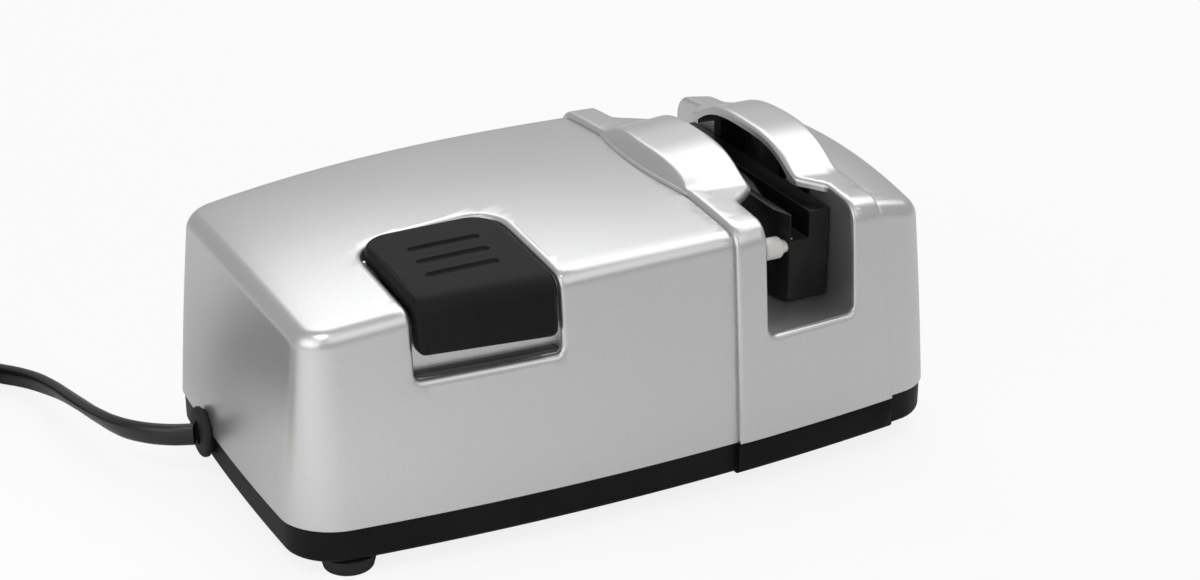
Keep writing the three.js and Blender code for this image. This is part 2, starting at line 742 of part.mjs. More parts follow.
// A closed tube that follows points; its section is turned by the roll, in degrees, at each point
function sweep(points, halfWidth, halfHeight, sides, rolls = []) {
  const rings = points.map((point, i) => {
    const ahead = points[Math.min(i + 1, points.length - 1)];
    const behind = points[Math.max(i - 1, 0)];
    const tangent = new THREE.Vector3().subVectors(ahead, behind).normalize();
    const sideways = new THREE.Vector3(tangent.y, -tangent.x, 0).normalize();
    const upwards = new THREE.Vector3().crossVectors(sideways, tangent).normalize();
    return Array.from({ length: sides }, (_, k) => {
      const angle = (2 * Math.PI * (k + 1 / 2)) / sides;
      const roll = THREE.MathUtils.degToRad(rolls[i] ?? 0);
      const a = halfWidth * Math.cos(angle);
      const b = halfHeight * Math.sin(angle);
      return point.clone()
        .addScaledVector(sideways, a * Math.cos(roll) - b * Math.sin(roll))
        .addScaledVector(upwards, a * Math.sin(roll) + b * Math.cos(roll)).toArray();
    });
  });
  return ringSolid(rings);
}

// Least distance between the surfaces of different turns, measured on the points of the middle line
function leastTurnGap(points, perTurn, halfWidth, halfHeight) {
  let least = Infinity;
  for (let i = 0; i < points.length; i += 1) {
    for (let j = i + Math.round(perTurn / 2); j < points.length; j += 1) {
      const flat = Math.hypot(points[i].x - points[j].x, points[i].y - points[j].y) - 2 * halfWidth;
      const rise = Math.abs(points[i].z - points[j].z) - 2 * halfHeight;
      least = Math.min(least, Math.max(flat, rise));
    }
  }
  return least;
}

function returnSpring() {
  const stepsPerTurn = 10;
  const wire = springWire;
  const footZ = recessFloorZ + gap + wire;
  const headZ = topHeight(switchX, springY) + buttonProud - buttonSkin - gap - wire;
  const steps = springTurns * stepsPerTurn;
  const points = Array.from({ length: steps + 1 }, (_, i) => {
    const turn = (2 * Math.PI * i) / stepsPerTurn;
    const z = footZ + ((headZ - footZ) * i) / steps;
    return new THREE.Vector3(
      switchX + springRadius * Math.cos(turn), springY + springRadius * Math.sin(turn), z,
    );
  });
  return sweep(points, wire, wire, 5);
}

function switchBody() {
  const body = box(
    switchX - switchLength / 2, switchX + switchLength / 2,
    switchY - switchWidth / 2, switchY + switchWidth / 2, switchTopZ - switchHeight, switchTopZ,
  );
  const terminals = [-1, 0, 1].map((step) => {
    const x = switchX + step * (switchLength / 2 - cheekThickness);
    return box(x - gap, x + gap, switchY - plungerRadius, switchY + plungerRadius,
      switchTopZ - switchHeight - 2 * cheekThickness, switchTopZ - switchHeight / 2);
  });
  const bore = barZ(plungerRadius + gap, switchTopZ - plungerBore, tall, switchX, switchY, smallSides);
  return join(body, ...terminals).subtract(bore);
}

function switchPlunger() {
  return barZ(plungerRadius, plungerTopZ - plungerLength, plungerTopZ, switchX, switchY, smallSides);
}

// Motor pieces lie on the spindle's line
function motorCan() {
  const boss = motorWall * 2;
  const outer = turnedX([
    [motorLeftX, 0], [motorLeftX, motorRadius], [motorRightX - motorWall, motorRadius],
    [motorRightX, motorRadius - motorWall], [motorRightX, fanHubRadius],
    [motorRightX + boss / 2, fanHubRadius], [motorRightX + boss / 2, 0],
  ], 0, spindleZ);
  return cut(
    outer, barX(motorRadius - motorWall, motorLeftX - overrun, motorRightX - motorWall, 0, spindleZ),
    barX(motorShaftRadius + runningGap, motorLeftX, motorRightX + overrun, 0, spindleZ, smallSides),
  );
}

function motorCap() {
  const x0 = motorLeftX - motorCapThickness;
  const disc = turnedX([
    [x0, 0], [x0, motorRadius - motorWall], [x0 + motorWall, motorRadius],
    [motorLeftX - gap, motorRadius], [motorLeftX - gap, motorRadius - motorWall - gap],
    [motorLeftX + motorCapThickness, motorRadius - motorWall - gap],
    [motorLeftX + motorCapThickness, motorRadius - 2 * motorWall - gap],
    [motorLeftX, motorRadius - 2 * motorWall - gap], [motorLeftX, 0],
  ], 0, spindleZ);
  return cut(disc, barX(motorShaftRadius + runningGap, x0 - overrun, x0 + overrun, 0, spindleZ, smallSides));
}

function magnet(side) {
  const outer = motorRadius - motorWall - gap;
  const inner = outer - magnetThickness;
  const spread = Math.PI / 3;
  const start = side > 0 ? -spread : Math.PI - spread;
  const middleX = (motorLeftX + motorRightX) / 2;
  const outline = [
    ...arcPoints(0, 0, outer, start, start + 2 * spread, 2 * edgeSteps),
    ...arcPoints(0, 0, inner, start + 2 * spread, start, 2 * edgeSteps),
  ];
  const geometry = extruded(outline, rotorLength);
  const turned = new THREE.Matrix4().makeBasis(
    new THREE.Vector3(0, 1, 0), new THREE.Vector3(0, 0, 1), new THREE.Vector3(1, 0, 0),
  );
  geometry.applyMatrix4(turned);
  geometry.translate(middleX - rotorLength / 2, 0, spindleZ);
  return solidOf(geometry);
}

function rotor() {
  const middleX = (motorLeftX + motorRightX) / 2;
  const x0 = middleX - rotorLength / 2;
  const x1 = middleX + rotorLength / 2;
  const commutator = x0 - 2 * motorCapThickness;
  const core = turnedX([
    [commutator, 0], [commutator, couplingRadius], [x0 - motorCapThickness, couplingRadius],
    [x0 - motorCapThickness, rotorRadius - 2 * magnetThickness], [x0, rotorRadius - magnetThickness],
    [x0, rotorRadius], [x1, rotorRadius], [x1, rotorRadius - magnetThickness],
    [x1 + motorCapThickness, rotorRadius - 2 * magnetThickness], [x1 + motorCapThickness, 0],
  ], 0, spindleZ);
  return core.subtract(barX(motorShaftRadius + runningGap, -far, far, 0, spindleZ, smallSides));
}

function motorShaft() {
  return barX(motorShaftRadius, motorLeftX - 2 * motorCapThickness, shaftJoinX - gap, 0, spindleZ, smallSides);
}

function fan() {
  const hub = barX(fanHubRadius, fanLeftX, fanLeftX + fanWidth, 0, spindleZ, smallSides);
  const back = barX(fanRadius, fanLeftX, fanLeftX + fanBladeThickness, 0, spindleZ);
  const blades = Array.from({ length: fanBlades }, (_, i) => {
    const geometry = new THREE.BoxGeometry(fanWidth, fanRadius - fanHubRadius / 2, fanBladeThickness);
    geometry.translate(fanLeftX + fanWidth / 2, fanRadius / 2 + fanHubRadius / 4 - gap, 0);
    geometry.rotateX((2 * Math.PI * i) / fanBlades);
    geometry.translate(0, 0, spindleZ);
    return solidOf(geometry);
  });
  const bore = barX(motorShaftRadius + runningGap, -far, far, 0, spindleZ, smallSides);
  return join(hub, back, ...blades).subtract(bore);
}

function motorStrap() {
  const inner = motorRadius + gap;
  const outer = inner + strapThickness;
  const footZ = spindleZ - strapThickness;
  const band = barX(outer, strapX - strapWidth / 2, strapX + strapWidth / 2, 0, spindleZ);
  const footEndY = motorRadius + strapFoot;
  const feet = box(strapX - strapWidth / 2, strapX + strapWidth / 2, -footEndY, footEndY, footZ, spindleZ);
  const below = box(-far, far, -far, far, -overrun, footZ);
  const screws = [-1, 1].map((sy) => barZ(screwShankRadius + gap, 0, tall, strapX,
    sy * (motorRadius + strapFoot / 2 + strapThickness), smallSides));
  return cut(join(band, feet), below, barX(inner, -far, far, 0, spindleZ), ...screws);
}

function coupling() {
  const body = turnedX([
    [couplingLeftX, 0], [couplingLeftX, couplingRadius - gap], [couplingLeftX + gap, couplingRadius],
    [couplingRightX - gap, couplingRadius], [couplingRightX, couplingRadius - gap], [couplingRightX, 0],
  ], 0, spindleZ, roundSides);
  return cut(
    body, barX(motorShaftRadius + runningGap, -far, shaftJoinX, 0, spindleZ, smallSides),
    barX(spindleRadius + runningGap, shaftJoinX - gap, far, 0, spindleZ, smallSides),
  );
}

function spindle() {
  const endX = rightPostX + postThickness + 2 * clipThickness;
  return barX(spindleRadius, shaftJoinX, endX, 0, spindleZ, roundSides);
}

// Grinding wheel; side +1 is the left one, whose cone faces right
const leftNoseX = slotLeftX + wheelNoseIn;
const rightNoseX = slotRightX - wheelNoseIn;
function wheel(side) {
  const noseX = side > 0 ? leftNoseX : rightNoseX;
  const at = (depth) => noseX - side * depth;
  const profile = [
    [at(wheelHubDish), 0], [at(wheelHubDish), wheelHubRadius], [at(0), wheelHubRadius + wheelHubDish],
    [at(0), wheelNoseRadius], [at(wheelNoseDrop), wheelRadius], [at(wheelThickness), wheelRadius],
    [at(wheelThickness), 0],
  ];
  const bore = barX(spindleRadius + runningGap, -far, far, 0, spindleZ, roundSides);
  return turnedX(profile, 0, spindleZ, 2 * roundSides).subtract(bore);
}

function sleeve(radius, x0, x1, boreRadius) {
  const bore = barX(boreRadius, x0 - overrun, x1 + overrun, 0, spindleZ, roundSides);
  return barX(radius, x0, x1, 0, spindleZ, roundSides).subtract(bore);
}

function wheelClip() {
  const x0 = rightNoseX + wheelThickness + gap;
  const ring = sleeve(clipRadius, x0, x0 + clipThickness, spindleRadius + runningGap);
  return ring.subtract(box(x0 - gap, x0 + 2 * clipThickness, -spindleRadius / 2, spindleRadius / 2,
    spindleZ - 2 * clipRadius, spindleZ));
}

function spindleBracket() {
  const floorZ = baseFootZ + baseFloor + gap;
  const strip = box(leftPostX, rightPostX + postThickness, -postHalf, postHalf, floorZ, floorZ + bracketFoot);
  const posts = [leftPostX, rightPostX].map((x) => {
    const top = barX(postHalf, x, x + postThickness, 0, spindleZ);
    return join(top, box(x, x + postThickness, -postHalf, postHalf, floorZ, spindleZ));
  });
  const screws = [-1, 1].map((sy) => barZ(screwShankRadius + gap, 0, spindleZ,
    bracketScrewX, (sy * postHalf) / 2, smallSides));
  return cut(join(strip, ...posts), barX(bushRadius + runningGap, -far, far, 0, spindleZ), ...screws);
}

// The bush of a post, with its flange on the post's outer side
function bush(x, side) {
  const outerX = side > 0 ? x + postThickness + gap : x - gap;
  const flangeX = outerX + side * clipThickness;
  const innerX = side > 0 ? x : x + postThickness;
  const middleX = (outerX + flangeX) / 2;
  const bore = spindleRadius + runningGap;
  const flange = sleeve(bushFlange, Math.min(outerX, flangeX), Math.max(outerX, flangeX), bore);
  return flange.add(sleeve(bushRadius, Math.min(innerX, middleX), Math.max(innerX, middleX), bore));
}

// Black guide: a divider between the two slots, and a cheek at the right that houses a wheel
function knifeGuide() {
  const right = notchRightX - gap;
  const half = [[guideLeftX, guideBevelY], [guideBevelX, guideFrontY], [right, guideFrontY]];
  const plan = [...half.map(([x, y]) => [x, -y]), ...half.reverse()];
  const footZ = notchFloorZ + gap;
  const block = prismZ(plan, footZ, guideTopZ);
  const slot = box(guideLeftX + dividerThickness, slotRightX, -far, far, guideSlotZ, tall);
  const wheelRoom = barX(wheelRadius + 2 * gap, rightNoseX - gap, far, 0, spindleZ);
  const spindleRoom = barX(spacerRadius + 2 * gap, -far, far, 0, spindleZ);
  const rests = [-1, 1].map((sy) => barX(restShankRadius + runningGap, guideLeftX - overrun,
    guideLeftX + restShankLength, sy * restY, restZ, smallSides));
  const screws = [-1, 1].map((sy) => barZ(screwShankRadius + gap, 0, footZ + screwLength,
    (guideLeftX + notchRightX) / 2, sy * guideScrewY, smallSides));
  return cut(block, slot, wheelRoom, spindleRoom, ...rests, ...screws);
}

function bladeRest(sy) {
  const x1 = guideLeftX - gap;
  const x0 = slotLeftX + gap / 2;
  return turnedX([
    [x0, 0], [x0, restRadius - restChamfer], [x0 + restChamfer, restRadius], [x1, restRadius],
    [x1, restShankRadius], [guideLeftX + restShankLength - gap, restShankRadius],
    [guideLeftX + restShankLength - gap, 0],
  ], sy * restY, restZ, roundSides);
}

// The flat cord stands on its edge; each point of its route is [x, y, z, lean of the section]
const cordFloorZ = 2.7;
const cordRoute = [
  [-82.2, 14.1, 10.7, 0], [-86.2, 16.2, 10.5, 0], [-89.8, 19.2, 10.2, 3], [-92.7, 22.9, 9.8, 8],
  [-94.8, 27, 9.3, 16], [-96.3, 31.5, 8.8, 26], [-97.3, 36, 8.3, 34], [-98.1, 40.6, 7.7, 41],
  [-98.8, 45.2, 7.2, 44], [-99.5, 49.8, 6.6, 43], [-100.2, 54.4, 6, 37], [-101, 59, 5.4, 29],
  [-102.1, 63.6, 4.8, 20], [-103.4, 68, 4.2, 12], [-105.1, 72.4, 3.6, 7], [-107.3, 76.5, 3.1, 4],
  [-109.9, 80.3, cordFloorZ, 2], [-112.8, 84.3, cordFloorZ, 0], [-115.8, 88.4, cordFloorZ, 0],
  [-118.7, 92.4, cordFloorZ, 0], [-121.7, 96.5, cordFloorZ, 0], [-124.3, 100, cordFloorZ, 0],
];
const coilTopZ = cordFloorZ + coilLayerRise;
const tailRoute = [
  [-190, 63.4, coilTopZ, 0], [-187.8, 55.4, coilTopZ, 0], [-185.5, 47.2, 8, 0], [-183.2, 38.4, 7.6, 0],
  [-181.1, 30, 7.2, 0],
];

function cordTube(points, sides, rolls) {
  return sweep(points, cordThickness / 2, cordWidth / 2, sides, rolls);
}

function smoothRoute(route, steps) {
  const curve = new THREE.CatmullRomCurve3(route.map(([x, y, z]) => new THREE.Vector3(x, y, z)), false, 'centripetal');
  return Array.from({ length: steps + 1 }, (_, i) => curve.getPoint(i / steps));
}
function smoothRolls(route, steps) {
  return Array.from({ length: steps + 1 }, (_, i) => {
    const at = (i / steps) * (route.length - 1);
    const before = Math.min(Math.floor(at), route.length - 2);
    return route[before][3] + (at - before) * (route[before + 1][3] - route[before][3]);
  });
}
function mainsCord() {
  const steps = 2 * cordRoute.length;
  return cordTube(smoothRoute(cordRoute, steps), 8, smoothRolls(cordRoute, steps));
}

// The lower layer winds inwards and climbs over its last half turn; the upper one winds out over it
function coilPoints() {
  const turns = 2 * coilInnerTurns - 1 + coilLeaveAngle / 360;
  const steps = Math.round(turns * coilStepsPerTurn);
  const points = [];
  for (let i = 0; i < steps; i += 1) {
    const turn = (turns * i) / steps;
    const past = turn - coilInnerTurns;
    const climbed = THREE.MathUtils.clamp((past + coilClimb) / coilClimb, 0, 1);
    const hop = THREE.MathUtils.clamp(past / coilClimb, 0, 1);
    const inward = coilInnerTurns - Math.abs(past) - hop;
    const radius = coilOuterRadius - coilPitch * inward;
    const angle = 2 * Math.PI * turn + (coilStartAngle * Math.PI) / 180;
    points.push(new THREE.Vector3(
      coilX + radius * Math.cos(angle), coilY + radius * Math.sin(angle), cordFloorZ + coilLayerRise * climbed,
    ));
  }
  return points;
}

function cordCoil() {
  const points = [...coilPoints(), ...smoothRoute(tailRoute, 2 * tailRoute.length)];
  const least = leastTurnGap(points, coilStepsPerTurn, cordThickness / 2, cordWidth / 2);
  console.log(`least gap between the coil's turns ${least.toFixed(2)} mm`);
  return cordTube(points, 6);
}

function grommet() {
  const faceX = -bodyLength / 2;
  const neckX = faceX + wall + 2 * gap;
  const sleeveX = faceX + grommetSleeve;
  const edge = grommetProud / 3;
  const body = turnedX([
    [faceX - grommetProud, 0], [faceX - grommetProud, grommetRadius - edge],
    [faceX - grommetProud + edge, grommetRadius], [faceX - gap, grommetRadius],
    [faceX - gap, grommetNeckRadius], [neckX + baseWall, grommetNeckRadius],
    [neckX + baseWall, grommetRadius - gap], [neckX + 2 * baseWall, grommetRadius - gap],
    [sleeveX, grommetTipRadius], [sleeveX, 0],
  ], grommetY, grommetZ);
  const points = [[-far, grommetY, grommetZ], [0, grommetY, grommetZ]].map((p) => new THREE.Vector3(...p));
  const bore = sweep(points, cordThickness / 2 + gap, cordWidth / 2 + gap, roundSides);
  const belowFloor = box(neckX, 0, -far, far, -overrun, baseFootZ + baseFloor + gap);
  return cut(body, bore, belowFloor);
}

function inletLead() {
  const start = -bodyLength / 2 - grommetProud + 2 * gap;
  const points = [start, clampX + 2 * clampLength].map((x) => new THREE.Vector3(x, grommetY, grommetZ));
  return cordTube(points, smallSides);
}

function cordClamp() {
  const z0 = grommetZ - cordWidth / 2;
  const topZ = grommetZ + cordWidth / 2 + gap + clampThickness;
  const bar = box(clampX, clampX + clampLength, grommetY - clampHalf, grommetY + clampHalf, z0, topZ);
  const channel = box(-far, 0, grommetY - cordThickness / 2 - gap, grommetY + cordThickness / 2 + gap,
    0, grommetZ + cordWidth / 2 + gap);
  const screws = [-1, 1].map((sy) => barZ(screwShankRadius + gap, 0, tall, clampX + clampLength / 2,
    grommetY + sy * clampScrewY, smallSides));
  return cut(bar, channel, ...screws);
}

// Plug pieces are made along +Y at the origin and then turned to lie beside the coil
function placedPlug(solid) {
  return solid.rotate([0, 0, plugHeading - 90]).translate([plugX, plugY, 0]);
}
function plugBody() {
  const half = plugWidth / 2;
  const waist = half * plugWaistWidthShare;
  const tail = half * plugTailWidthShare;
  const shoulderY = plugLength * plugShoulderShare;
  const waistY = plugLength * plugWaistShare;
  const plan = [
    [-half, plugLength], [half, plugLength], [half, shoulderY], [waist, waistY],
    [tail, 0], [-tail, 0], [-waist, waistY], [-half, shoulderY],
  ].reverse();
  const flat = prismZ(plan, gap, plugHeight);
  const pins = [-1, 1].map((side) => plugPinHole(side));
  return placedPlug(cut(flat, ...pins));
}
const plugMiddleZ = plugHeight / 2 + gap;
function plugBar(side, radius, y0, y1) {
  const geometry = new THREE.CylinderGeometry(radius, radius, y1 - y0, smallSides);
  geometry.translate((side * plugPinSpacing) / 2, (y0 + y1) / 2, plugMiddleZ);
  return solidOf(geometry);
}
const pinRoot = 6;
function plugPinHole(side) {
  return plugBar(side, plugPinRadius + runningGap, plugLength - pinRoot, plugLength + overrun);
}
function plugPin(side) {
  return placedPlug(plugBar(side, plugPinRadius, plugLength - pinRoot + gap, plugLength + plugPinLength));
}

// Finishes
const finish = (color, roughness, metalness) => new THREE.MeshStandardMaterial({ color, roughness, metalness });
const silver = finish(0xc4c5c7, 0.38, 0.55);
const black = finish(0x18181a, 0.55, 0);
const buttonGrey = finish(0x2f2f31, 0.6, 0);
const rubber = finish(0x101011, 0.8, 0);
const steel = finish(0xb9bcc0, 0.3, 1);
const brass = finish(0xb08d4a, 0.35, 1);
const nylon = finish(0xe9e8e2, 0.5, 0);
const stone = finish(0xd9d4cb, 0.9, 0);
const cordBlack = finish(0x131314, 0.4, 0);
const copperLead = finish(0x3b3f46, 0.5, 0);

const sharpener = new THREE.Group();
function place(name, solid, material, group = sharpener) {
  const mesh = new THREE.Mesh(geometryOf(solid), material);
  mesh.name = name;
  group.add(mesh);
}

place('main_shell', mainShell(), silver);
place('head_cover', headCover(), silver);
place('end_cap', endCap(), silver);
place('base_plate', basePlate(), black);
['foot_front_left', 'foot_rear_left', 'foot_front_right', 'foot_rear_right'].forEach((name, i) => {
  place(name, foot(feetPlaces[i]), rubber);
});
[...leftBosses, ...headBosses, ...endBosses].forEach(([x, y], i) => {
  place(`base_screw_${i + 1}`, screw(x, y, baseFootZ + screwHeadHeight / 2 - screwHeadHeight - gap, 1), steel);
});

place('press_button', pressButton(), buttonGrey);
place('button_pin', barX(pinRadius, buttonLeftX - buttonClearance - pinSeat, buttonRightX + buttonClearance
  + pinSeat, pinY, pinZ, smallSides), steel);
place('return_spring', returnSpring(), steel);
place('switch_body', switchBody(), black);
place('switch_plunger', switchPlunger(), nylon);

place('motor_can', motorCan(), steel);
place('motor_cap', motorCap(), black);
place('magnet_front', magnet(-1), rubber);
place('magnet_rear', magnet(1), rubber);
place('rotor', rotor(), brass);
place('motor_shaft', motorShaft(), steel);
place('cooling_fan', fan(), black);
place('motor_strap', motorStrap(), steel);
place('coupling', coupling(), nylon);
place('spindle', spindle(), steel);
place('wheel_left', wheel(1), stone);
place('wheel_right', wheel(-1), stone);
place('wheel_spacer', sleeve(spacerRadius, leftNoseX - wheelHubDish + gap, rightNoseX + wheelHubDish - gap,
  spindleRadius + runningGap), nylon);
place('wheel_clip', wheelClip(), steel);
place('spindle_bracket', spindleBracket(), steel);
place('bush_left', bush(leftPostX, -1), brass);
place('bush_right', bush(rightPostX, 1), brass);

place('knife_guide', knifeGuide(), black);
place('blade_rest_front', bladeRest(-1), nylon);
place('blade_rest_rear', bladeRest(1), nylon);

place('cord_grommet', grommet(), rubber);
place('inlet_lead', inletLead(), cordBlack);
place('cord_clamp', cordClamp(), black);
place('mains_cord', mainsCord(), cordBlack);
place('cord_coil', cordCoil(), cordBlack);
place('plug_body', plugBody(), black);
place('plug_pin_a', plugPin(-1), brass);
place('plug_pin_b', plugPin(1), brass);

export default sharpener;
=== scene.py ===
# %% [markdown]
# # Looks of an electric knife sharpener
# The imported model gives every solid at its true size. This notebook loads it, keeps the solids whose
# shape is right, and builds finer pieces over the ones the eye lingers on: the silver shells, the
# press button, the black guide, the flat mains cord. All places are in millimetres until a mesh is made.

# %% Load the frame
import math

import bpy
import numpy as np
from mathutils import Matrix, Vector
from mathutils.bvhtree import BVHTree


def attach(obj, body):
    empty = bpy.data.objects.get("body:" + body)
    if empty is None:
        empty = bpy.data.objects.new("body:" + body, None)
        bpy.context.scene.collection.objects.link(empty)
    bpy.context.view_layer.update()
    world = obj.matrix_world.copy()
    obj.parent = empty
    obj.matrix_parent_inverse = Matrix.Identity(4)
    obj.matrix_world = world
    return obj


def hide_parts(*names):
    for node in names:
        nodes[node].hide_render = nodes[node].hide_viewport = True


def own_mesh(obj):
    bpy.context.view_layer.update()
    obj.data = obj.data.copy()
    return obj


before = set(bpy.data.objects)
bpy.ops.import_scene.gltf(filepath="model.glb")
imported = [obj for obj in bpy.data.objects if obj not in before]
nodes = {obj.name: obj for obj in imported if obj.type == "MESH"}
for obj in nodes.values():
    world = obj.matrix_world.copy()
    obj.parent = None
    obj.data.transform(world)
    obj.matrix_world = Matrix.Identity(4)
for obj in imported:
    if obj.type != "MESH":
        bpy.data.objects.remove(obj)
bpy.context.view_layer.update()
MM = 0.001

# %% [markdown]
# The camera stands where the photograph was taken from: to the left of the front, looking down by
# about a quarter of a right angle. A long lens keeps the box shape nearly parallel.

# %% Camera
camera_place = (-214.9, -447.7, 259.3)
camera_pitch, camera_yaw = 65.67, -26.87
camera_lens = 71.7
bpy.ops.object.camera_add(
    location=[v * MM for v in camera_place],
    rotation=(math.radians(camera_pitch), 0, math.radians(camera_yaw)),
)
camera = bpy.context.object
camera.data.lens = camera_lens
camera.data.sensor_width = 36
camera.data.clip_start = 0.01
bpy.context.scene.camera = camera
print(f"camera {math.dist(camera_place, (0, 0, 0)):.0f} mm away, {camera_lens} mm lens")

# %% [markdown]
# A few helpers follow. Operators act on the selection, so everything is deselected first. A new mesh
# starts from rings of points: a loft closes them into a solid, as a shipwright planks over frames.


# %% Meshes from rings
def activate(piece):
    for thing in bpy.context.selected_objects:
        thing.select_set(False)
    piece.select_set(True)
    bpy.context.view_layer.objects.active = piece


def edit_whole(piece, *steps):
    """Runs mesh operators in edit mode, each on the whole mesh."""
    activate(piece)
    bpy.ops.object.mode_set(mode="EDIT")
    for step in steps:
        bpy.ops.mesh.select_all(action="SELECT")
        step()
    bpy.ops.object.mode_set(mode="OBJECT")


def face_outward():
    bpy.ops.mesh.normals_make_consistent(inside=False)


def mesh_piece(name, points, faces):
    mesh = bpy.data.meshes.new(name)
    mesh.from_pydata([[c * MM for c in p] for p in points], [], faces)
    piece = bpy.data.objects.new(name, mesh)
    bpy.context.scene.collection.objects.link(piece)
    return piece


def ring_faces(count, rings, closed=False):
    faces = []
    for r in range(rings if closed else rings - 1):
        for i in range(count):
            a, b = r * count, ((r + 1) % rings) * count
            j = (i + 1) % count
            faces.append((a + i, a + j, b + j, b + i))
    return faces


def loft(name, rings, closed=False):
    count = len(rings[0])
    points = [tuple(p) for ring in rings for p in ring]
    faces = ring_faces(count, len(rings), closed)
    if not closed:
        last = (len(rings) - 1) * count
        faces.append(tuple(range(count)))
        faces.append(tuple(last + i for i in range(count)))
    piece = mesh_piece(name, points, faces)
    edit_whole(piece, face_outward)
    return piece


# %% [markdown]
# ## Cord
# The flat two-core cord leaves the rubber ring, sinks to the table while it rolls over on its side
# and up again, and goes out of the picture. What the photograph doesn't show is wound in a flat coil
# just outside the view, with the plug beside it. One tube follows the whole route.

# %% Route of the cord
cord_width, cord_thickness = 5.0, 3.1
cord_floor_z = 2.7
cord_route = [
    (-82.2, 14.1, 10.7, 0), (-86.2, 16.2, 10.5, 0), (-89.8, 19.2, 10.2, 3), (-92.7, 22.9, 9.8, 8),
    (-94.8, 27, 9.3, 16), (-96.3, 31.5, 8.8, 26), (-97.3, 36, 8.3, 34), (-98.1, 40.6, 7.7, 41),
    (-98.8, 45.2, 7.2, 44), (-99.5, 49.8, 6.6, 43), (-100.2, 54.4, 6, 37), (-101, 59, 5.4, 29),
    (-102.1, 63.6, 4.8, 20), (-103.4, 68, 4.2, 12), (-105.1, 72.4, 3.6, 7), (-107.3, 76.5, 3.1, 4),
    (-109.9, 80.3, cord_floor_z, 2), (-112.8, 84.3, cord_floor_z, 0), (-115.8, 88.4, cord_floor_z, 0),
    (-118.7, 92.4, cord_floor_z, 0), (-121.7, 96.5, cord_floor_z, 0), (-124.3, 100, cord_floor_z, 0),
]
coil_centre = (-154.4, 78.9)
coil_radius, coil_pitch, coil_rise = 36.8, 3.55, 5.45
coil_turns_in, coil_climb, coil_start, coil_leave = 4, 0.5, 36, 160
coil_top_z = cord_floor_z + coil_rise
tail_route = [
    (-190, 63.4, coil_top_z, 0), (-187.8, 55.4, coil_top_z, 0), (-185.5, 47.2, 8, 0),
    (-183.2, 38.4, 7.6, 0), (-181.1, 30, 7.2, 0),
]


def smooth_route(route, per_step):
    """A centripetal curve through the points; the fourth value is the roll of the section."""
    pts = np.array(route, float)
    xyz = np.vstack([2 * pts[0] - pts[1], pts, 2 * pts[-1] - pts[-2]])
    out = []
    for i in range(1, len(xyz) - 2):
        p0, p1, p2, p3 = xyz[i - 1 : i + 3]
        spans = ((p0, p1), (p1, p2), (p2, p3))
        d0, d1, d2 = (math.sqrt(max(np.linalg.norm((b - a)[:3]), 1e-4)) for a, b in spans)
        t1 = ((p1 - p0) / d0 - (p2 - p0) / (d0 + d1) + (p2 - p1) / d1) * d1
        t2 = ((p2 - p1) / d1 - (p3 - p1) / (d1 + d2) + (p3 - p2) / d2) * d1
        for k in range(per_step):
            t = k / per_step
            out.append(p1 + t1 * t + (3 * (p2 - p1) - 2 * t1 - t2) * t**2 + (2 * (p1 - p2) + t1 + t2) * t**3)
    return np.array([*out, xyz[-2]])


def coil_route(per_turn):
    turns = 2 * coil_turns_in - 1 + coil_leave / 360
    turn = np.arange(round(turns * per_turn)) / per_turn
    past = turn - coil_turns_in
    climbed = np.clip((past + coil_climb) / coil_climb, 0, 1)
    inward = coil_turns_in - np.abs(past) - np.clip(past / coil_climb, 0, 1)
    radius = coil_radius - coil_pitch * inward
    angle = 2 * np.pi * turn + math.radians(coil_start)
    x = coil_centre[0] + radius * np.cos(angle)
    y = coil_centre[1] + radius * np.sin(angle)
    return np.column_stack([x, y, cord_floor_z + coil_rise * climbed, 0 * x])


seen_route = smooth_route(cord_route, 5)
whole_route = np.vstack([seen_route, coil_route(40), smooth_route(tail_route, 5)])

# %% [markdown]
# The cord's section is an oval with flat sides. A curve object with a bevel would sweep it too, but
# its own rings let the section roll over as the cord sinks to the floor.


# %% Sweep a section along a route
def flat_section(half_width, half_height, sides, squareness=2.6):
    """An oval with flattened sides: a superellipse."""
    turn = 2 * np.pi * (np.arange(sides) + 0.5) / sides
    c, s = np.cos(turn), np.sin(turn)
    power = 2 / squareness
    return np.column_stack([
        half_width * np.sign(c) * np.abs(c) ** power, half_height * np.sign(s) * np.abs(s) ** power,
    ])


def sweep(name, route, section):
    xyz = route[:, :3]
    tangent = np.gradient(xyz, axis=0)
    tangent /= np.linalg.norm(tangent, axis=1)[:, None]
    side = np.column_stack([tangent[:, 1], -tangent[:, 0], 0 * tangent[:, 0]])
    side /= np.linalg.norm(side, axis=1)[:, None]
    up = np.cross(side, tangent)
    rings = []
    for p, s, u, roll in zip(xyz, side, up, np.radians(route[:, 3])):
        c, d = math.cos(roll), math.sin(roll)
        rings.append([p + s * (a * c - b * d) + u * (a * d + b * c) for a, b in section])
    return loft(name, rings)


cord = sweep("mains_flex", whole_route, flat_section(cord_thickness / 2, cord_width / 2, 18))
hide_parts("mains_cord", "cord_coil")
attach(cord, "housing")
print(f"cord {len(cord.data.polygons)} faces")

# %% [markdown]
# ## Materials
# Shader maths reads best as plain expressions. A small class wraps a socket, so that `1 - mask`
# adds its Math nodes, and one method makes any other node.


